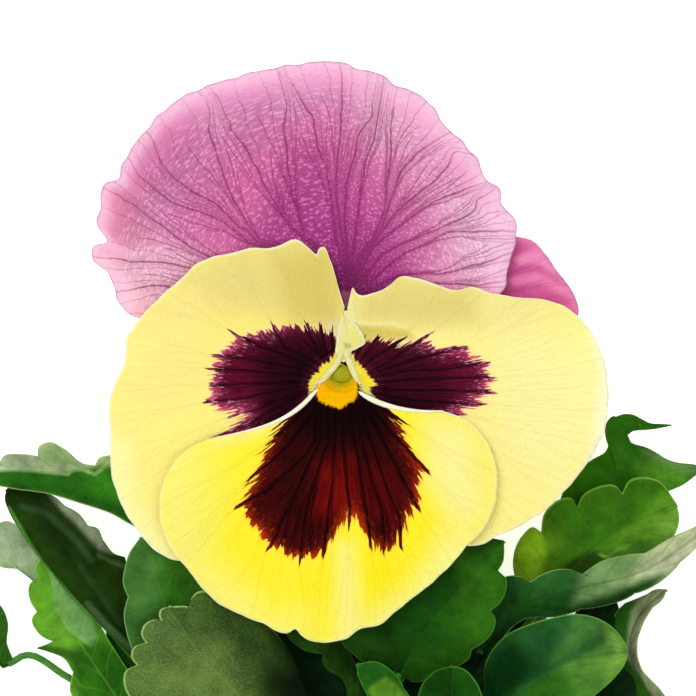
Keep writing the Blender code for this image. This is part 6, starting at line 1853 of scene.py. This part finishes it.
    def build_ridge(self, name: str, petal_name: str, ridge: tuple[Point, ...], turn: int) -> None:
        """A pale ridge on the inner edge of a side petal, with short club-shaped hairs.

        Args:
            name: The name of the piece.
            petal_name: The petal that carries it.
            ridge: Its line in the photograph.
            turn: 0 for the left ridge, 1 for the right one.
        """
        chance = np.random.default_rng(self.seed + turn)
        petal = next(p for p in PETALS if p.name == petal_name)
        skin = petal.surface(np.linspace(0, 1, 80), np.linspace(0, 0.4, 60)).reshape(-1, 3)
        knots = np.array([from_picture((*spot, self.ridge_height)) for spot in ridge])
        build = Build()
        shares = np.linspace(0, 1, 40)
        line = curve_points(knots, shares) - np.array([0, 0, 0.1])
        radii = (0.45 + 0.03 * turn) * np.sqrt(np.clip(np.sin(math.pi * (0.1 + 0.88 * shares)), 0.01, 1))
        build.add_tube(line, radii, 14, 1, 0.7)
        for share in chance.uniform(0.12, 1, self.hairs - self.fewer_right * turn):
            head = curve_points(knots, np.array([share]))[0]
            head = head + np.array([*chance.normal(0, 0.2, 2), chance.normal(0.05, 0.12)])
            out = unit(head[:2] - KNOB_CENTRE)
            foot = skin[np.argmin(np.linalg.norm(skin[:, :2] - head[:2] - out * 0.5, axis=1))]
            middle = (foot + head) / 2 + np.array([*(out * 0.15), 0.1])
            line = curve_points(np.array([foot, middle, head]), np.linspace(0, 1, 7))
            radii = self.hair_radius * np.array([0.6, 0.6, 0.65, 0.8, 1.1, 1.35, 0.8])
            build.add_tube(line, radii, 7)
        build.piece(name, [BEARD.build(), RIDGE.build()], Slot.SIDE)


@dataclass
class Calyx:
    """The knob behind the bloom and its five sepals.

    The knob is given as radii and heights, a sepal as the bearing and the reach of its tip, and the line of
    every sepal as distances from the knob's axis and heights.
    """

    knob: tuple[Point, ...] = (
        (0.02, 11.0), (2.8, 11.0), (3.3, 10.8), (3.4, 10.5), (3.2, 10.0), (3.0, 9.5), (2.2, 8.8), (1.6, 8.2),
        (0.02, 8.2),
    )
    sides: int = 40
    sepals: tuple = ((90, 14.0), (162, 13.5), (18, 13.5), (228, 12.5), (312, 12.5))
    line: tuple = ((5.2, 6.0), (3.9, 8.0), (2.2, 9.9), (5.0, 10.3))
    tip_height: float = 11.0
    flap: float = 1.1
    half_width: float = 1.9
    tip: float = 0.25
    widest: float = 0.55
    cup: float = 0.5
    thickness: float = 0.45

    def build(self) -> None:
        """Builds knob and sepals as one piece."""
        build = Build()
        rings = np.array(self.knob)
        turn = np.arange(self.sides) * 2 * math.pi / self.sides
        corners = np.stack([
            KNOB_CENTRE[0] + rings[:, :1] * np.cos(turn),
            KNOB_CENTRE[1] + rings[:, :1] * np.sin(turn),
            rings[:, 1:] + 0 * turn,
        ], -1)
        number = np.arange(len(rings) * self.sides).reshape(len(rings), self.sides)
        beside = np.roll(number, -1, axis=1)
        wall = np.stack([number[:-1], number[1:], beside[1:], beside[:-1]], -1).reshape(-1, 4)
        build.add(corners.reshape(-1, 3), wall, {})
        for angle, reach in self.sepals:
            grid = self.sepal(bearing(np.array(float(angle))), reach)
            build.add_blade(grid, np.full(grid.shape[:2], self.thickness), {})
        build.piece("calyx.sepals", [CALYX.build()], Slot.CALYX, ("calyx",))

    def sepal(self, out: np.ndarray, reach: float) -> np.ndarray:
        """The middle surface of a sepal, from its flap behind the knob to its tip.

        Args:
            out: Its direction in plan.
            reach: How far its tip is from the knob's axis.

        Returns:
            A grid of points.
        """
        knots = [(*(KNOB_CENTRE + out * away), height) for away, height in self.line]
        knots.append((*(KNOB_CENTRE + out * reach), self.tip_height))
        along = np.linspace(0, 1, 48)
        middle = curve_points(np.array(knots), along)
        early = self.flap + (self.half_width - self.flap) * smoothstep(0.0, self.widest, along)
        late = np.sqrt(np.clip(1 - np.clip((along - self.widest) / (1 - self.widest), 0, 1) ** 1.6, 0, 1))
        half = np.where(along < self.widest, early, self.tip + (self.half_width - self.tip) * late)
        t = np.linspace(-1, 1, 17)
        aside = np.array([-out[1], out[0], 0.0])
        lifted = np.array([0.0, 0.0, self.cup])
        return middle[:, None] + aside * (half[:, None] * t)[..., None] + lifted * (t**2)[None, :, None]


@dataclass
class Stems:
    """The bare flower stalk and the leafy shoot, as they lie on the table."""

    sides: int = 20
    slimmer: float = 0.97
    node_length: float = 0.9
    node_swelling: float = 0.05
    cut_share: float = 0.92

    def build(self) -> None:
        """Builds the flower stalk and the shoot."""
        stalk = Build()
        line = curve_points(np.array(STALK_ROUTE), np.linspace(0, 1, 140))
        stalk.add_tube(line, np.full(len(line), STALK_RADIUS * self.slimmer), self.sides)
        stalk.piece("stems.flower_stalk", [STEM.build()], Slot.STEM, ("flower_stalk",))
        shoot = Build()
        levels = np.linspace(SHOOT_TOP_Y, SHOOT_CUT_Y, 160)
        line = np.array([shoot_point(y) for y in levels])
        swelling = sum(np.exp(-((levels - leaf.node_y) / self.node_length) ** 2) for leaf in LEAVES)
        radii = SHOOT_RADIUS * (1.0 - self.node_swelling + self.node_swelling * np.minimum(swelling, 1.0))
        shoot.add_tube(line, radii, self.sides)
        end = shoot_point(SHOOT_CUT_Y)
        tip = np.array([end + [0, 0.02, 0], end + [0, -0.03, 0]])
        shoot.add_tube(tip, np.full(2, self.cut_share * SHOOT_RADIUS), self.sides, 1)
        shoot.piece("stems.leafy_shoot", [STEM.build(), CUT.build()], Slot.STEM, ("leafy_shoot",))


def shoot_point(y: float) -> np.ndarray:
    """The middle of the leafy shoot at this y, where it lies on the table."""
    gone = (SHOOT_TOP_Y - y) / (SHOOT_TOP_Y - SHOOT_CUT_Y)
    x = SHOOT_TOP_X + SHOOT_LEAN * gone + SHOOT_BOW * math.sin(math.pi * gone)
    return np.array([x, y, SHOOT_RADIUS])


@dataclass
class Foliage:
    """The sixteen leaves, and seven small young ones deep between them, most of them painted near black as
    shade.
    """

    columns: int = 32
    thickness: float = 0.36
    base_rows: int = 6
    base_length: float = 1.8
    quilt: float = 0.1
    stalk_radius: float = 0.58
    stalk_end_radius: float = 0.5
    lobe_thickness: float = 0.25
    table_gap: float = 0.05
    veins_per_lateral: float = 1.6
    right_half_shift: float = 0.35
    rib_radius: float = 0.45
    rib_tip_radius: float = 0.1
    rib_sink: float = 0.15
    rib_flatness: float = 0.7

    def build(self) -> None:
        """Builds and dresses every leaf."""
        for leaf in LEAVES + YOUNG_LEAVES:
            young = leaf in YOUNG_LEAVES
            look = LEAF_LOOKS.get(leaf.name, SHADED_YOUNG_LOOK)
            build = Build()
            self.lay_leaf(build, leaf, look, self.columns // 2 if young else self.columns)
            for lobe in LEAF_LOBES.get(leaf.name, ()):
                self.lay_lobe(build, lobe, look)
            skin = LeafSkin(leaf.name + "_skin", look.vein, look.rim, look.rim_width, look.hairy)
            stands_for = () if young else (leaf.name,)
            build.piece("foliage." + leaf.name, [skin.build(), STEM.build()], look.slot, stands_for)

    def lay_lobe(self, build: Build, outline: tuple[Point, ...], look: LeafLook) -> None:
        """Lays a side lobe that the rows of the blade can't reach.

        Args:
            build: The leaf that it belongs to.
            outline: Its corners in the photograph with their heights.
            look: What the leaf wears.
        """
        outer = loop(outline, np.linspace(0, 1, 61))
        middle = outer[:-1].mean(axis=0)
        share = np.linspace(0.02, 1, 12)[:, None, None]
        grid = middle + (outer - middle) * share
        flat = np.zeros(grid.shape[:2])
        ground = np.broadcast_to(rgb(look.left), grid.shape)
        to_rim = (1 - share[..., 0]) * np.linalg.norm(outer - middle, axis=-1)
        build.add_blade(grid, flat + self.lobe_thickness, {
            "ray": np.stack([flat + 0.5, flat + 9.0, flat + 9.0], -1),
            "reach": np.stack([to_rim, flat, flat], -1),
            "paint": painted(ground, to_picture(grid), look.layers),
        })

    def margin(self, points: tuple, tip: np.ndarray, teeth: int, midrib: np.ndarray) -> np.ndarray:
        """The margin's place at every fine row: sharp at its notches, smooth between them.

        Args:
            points: The margin's points in the photograph.
            tip: The tip of the leaf.
            teeth: How many even teeth it has.
            midrib: The midrib at every fine row.

        Returns:
            One point for each fine row.
        """
        line = [from_picture(point) for point in points] + [tip]
        corners = [0] + [i for i, point in enumerate(points) if NOTCH in point[3:]] + [len(line) - 1]
        lengths = distances_along(line)
        rows = [round(lengths[i] / lengths[-1] * BLADE_ROWS) for i in corners]
        for k in range(1, len(rows)):
            rows[k] = max(rows[k], rows[k - 1] + 1)
        for k in range(len(rows)):
            rows[k] = min(rows[k], BLADE_ROWS - (len(rows) - 1 - k))
        placed = []
        for k in range(len(corners) - 1):
            piece = np.array(line[corners[k]:corners[k + 1] + 1])
            count = (rows[k + 1] - rows[k]) * FINE_ROWS
            placed.append(curve_points(piece, np.arange(count) / count))
        placed = np.concatenate([*placed, [line[-1]]])
        if teeth:
            crest = np.abs(np.sin(math.pi * teeth * np.linspace(0, 1, len(placed)))) ** TOOTH_ROUNDNESS
            crest[0] = crest[-1] = 1.0
            placed = placed + (midrib - placed) * (TOOTH_DEPTH * (1.0 - crest))[:, None]
        return placed

    def lay_leaf(self, build: Build, leaf: Leaf, look: LeafLook, columns: int) -> None:
        """Lays blade, stalk and midrib of one leaf.

        Args:
            build: What the leaf is added to.
            leaf: Its lines.
            look: What it wears.
            columns: How many columns of faces it has.
        """
        turn = math.radians(leaf.leaves_at)
        out = np.array([math.cos(turn), 0.0, math.sin(turn)])
        start = shoot_point(leaf.node_y) + out * (SHOOT_RADIUS + SEAT_GAP)
        route = np.array([start, start + out * PETIOLE_START, *leaf.stalk, *map(from_picture, leaf.midrib)])
        lengths = distances_along(route)
        foot = lengths[-len(leaf.midrib)] / lengths[-1]
        lines = self.blade_lines(leaf, route, foot)
        self.lay_blade(build, leaf, look, lines, columns, lengths[-1] * (1 - foot))
        stalk = curve_points(route, np.linspace(0, foot, 60))
        stalk[:, 2] = np.maximum(stalk[:, 2], self.stalk_radius)
        build.add_tube(stalk, np.linspace(self.stalk_radius, self.stalk_end_radius, len(stalk)), 14, 1)
        rib = lines[0][self.base_rows::3] - np.array([0, 0, self.rib_sink])
        radii = np.linspace(self.rib_radius, self.rib_tip_radius, len(rib))
        rib[:, 2] = np.maximum(rib[:, 2], radii * self.rib_flatness + 0.02)
        build.add_tube(rib, radii, 10, 1, self.rib_flatness)

    def blade_lines(
        self, leaf: Leaf, route: np.ndarray, foot: float
    ) -> tuple[np.ndarray, np.ndarray, np.ndarray]:
        """The lines of a blade, with the rounded base behind its foot.

        Args:
            leaf: Its lines.
            route: The points that stalk and midrib pass.
            foot: The share of the route where the blade starts.

        Returns:
            Midrib, left margin and right margin, one point for each row.
        """
        midrib = curve_points(route, foot + (1 - foot) * np.linspace(0, 1, BLADE_ROWS * FINE_ROWS + 1))
        left = self.margin(leaf.left, route[-1], leaf.teeth_left, midrib)
        right = self.margin(leaf.right, route[-1], leaf.teeth_right, midrib)
        sideways = unit(left[-3 * FINE_ROWS] - right[-3 * FINE_ROWS])
        left[-1] += sideways * TIP_HALF_WIDTH
        right[-1] -= sideways * TIP_HALF_WIDTH
        shares = np.arange(self.base_rows, 0, -1) / self.base_rows
        back = curve_points(route, foot - shares * self.base_length / distances_along(route)[-1])
        narrow = np.sqrt(np.clip(1 - shares**2, 0.01, 1))[:, None]
        left = np.concatenate([back + (left[0] - midrib[0]) * narrow, left])
        right = np.concatenate([back + (right[0] - midrib[0]) * narrow, right])
        return np.concatenate([back, midrib]), left, right

    def lay_blade(
        self, build: Build, leaf: Leaf, look: LeafLook, lines: tuple[np.ndarray, np.ndarray, np.ndarray],
        columns: int, length: float,
    ) -> None:
        """Lays a blade between its margins, arched and quilted, with its marks.

        Args:
            build: What the blade is added to.
            leaf: Its lines.
            look: What it wears.
            lines: Midrib, left margin and right margin, one point for each row.
            columns: How many columns of faces it has.
            length: The length of its midrib.
        """
        midrib, left, right = lines
        t = np.linspace(-1, 1, columns + 1)[None, :, None]
        edge = np.where(t < 0, left[:, None], right[:, None])
        grid = midrib[:, None] + (edge - midrib[:, None]) * np.abs(t)
        half = np.linalg.norm(edge - midrib[:, None], axis=-1)
        side = np.abs(t[..., 0])
        grid[..., 2] += leaf.arch * half * 4 * side * (1 - side)
        along = np.linspace(0, 1, len(midrib))[:, None]
        count = look.laterals * self.veins_per_lateral
        shift = np.where(t[..., 0] < 0, 0.0, self.right_half_shift)
        lateral = along * look.laterals * self.veins_per_lateral - side**0.8 * look.lean / 2 + shift
        grid[..., 2] += self.quilt * np.cos(2 * math.pi * (lateral + 0.5)) * side * (1 - side) * 3
        grid[..., 2] = np.maximum(grid[..., 2], self.thickness / 2 + self.table_gap)
        to_rim = (1 - side) * half
        towards = smoothstep(-0.08, 0.08, t)
        halves = rgb(look.left) * (1 - towards) + rgb(look.right) * towards
        ground = np.broadcast_to(halves, grid.shape)
        cell = np.full(side.shape, length / count) + 0.0 * along
        marks = {
            "ray": np.stack([lateral, side * half, cell + 0.0 * half], -1),
            "reach": np.stack([to_rim, along + 0.0 * half, 0.0 * half], -1),
            "paint": painted(ground, to_picture(grid), look.layers),
        }
        build.add_blade(grid, self.thickness * (1 - 0.5 * side**6) + 0.0 * half, marks)


@dataclass(frozen=True)
class Lamp:
    """A square soft lamp that points at the bloom. Its place and side are in metres, its power in watts."""

    name: str
    place: Point
    side: float
    power: float


@dataclass
class Studio:
    """Pale table, soft lights, and the camera that looks straight down on the bloom. Sizes are in metres."""

    floor_size: float = 3.0
    floor_drop: float = 0.0002
    floor_colour: str = "#FBFBFA"
    table_glow: float = 0.7
    room_light: float = 0.6
    lamps: tuple[Lamp, ...] = (
        Lamp("key_lamp", (-0.35, 0.35, 0.75), 0.5, 3.6),
        Lamp("fill_lamp", (0.45, -0.25, 0.7), 0.6, 1.5),
    )

    def build(self) -> None:
        """Builds the floor, the lights and the camera."""
        scene = bpy.context.scene
        scene.view_settings.view_transform = "Standard"
        self.lay_floor()
        self.light_up()
        eye = BLOOM_CENTRE + np.array([*PICTURE_MIDDLE_IN_BLOOM, FACE_HEIGHT + CAMERA_ABOVE_FACE])
        lens = bpy.data.cameras.new("camera")
        lens.sensor_width = SENSOR
        lens.lens = SENSOR * CAMERA_ABOVE_FACE / (PICTURE_SIDE * MM_PER_PIXEL)
        camera = bpy.data.objects.new("camera", lens)
        camera.location = tuple(eye * MM)
        scene.collection.objects.link(camera)
        scene.camera = camera

    def lay_floor(self) -> None:
        """The table top, a plain matt white."""
        half = self.floor_size / 2
        mesh = bpy.data.meshes.new("table_top")
        corners = [(-half, -half, 0), (half, -half, 0), (half, half, 0), (-half, half, 0)]
        mesh.from_pydata(corners, [], [(0, 1, 2, 3)])
        g = Graph("matt_white_table")
        mesh.materials.append(g.close(g.add("BsdfPrincipled", {
            "Base Color": hex_to_linear(self.floor_colour), "Roughness": 0.9,
            "Emission Color": (1.0, 1.0, 1.0, 1.0), "Emission Strength": self.table_glow,
        })))
        floor = bpy.data.objects.new("table_top", mesh)
        floor.location = (0, 0, -self.floor_drop)
        bpy.context.scene.collection.objects.link(floor)

    def light_up(self) -> None:
        """A white room and two large soft lamps."""
        world = bpy.data.worlds.new("white_room")
        world.use_nodes = True
        world.node_tree.nodes["Background"].inputs["Color"].default_value = (1, 1, 1, 1)
        world.node_tree.nodes["Background"].inputs["Strength"].default_value = self.room_light
        bpy.context.scene.world = world
        for lamp in self.lamps:
            light = bpy.data.lights.new(lamp.name, "AREA")
            light.size = lamp.side
            light.energy = lamp.power
            made = bpy.data.objects.new(lamp.name, light)
            made.location = lamp.place
            away = np.array(lamp.place)
            yaw = math.atan2(away[1], away[0])
            made.rotation_euler = (0.0, math.atan2(math.hypot(away[0], away[1]), away[2]), yaw)
            bpy.context.scene.collection.objects.link(made)


def main() -> None:
    """Builds and dresses the pansy."""
    logging.basicConfig(level=logging.INFO, format="%(message)s")
    for assembly in (Bloom(), Throat(), Calyx(), Stems(), Foliage(), Studio()):
        log.info("building %s", type(assembly).__name__)
        assembly.build()


if __name__ == "__main__":
    main()
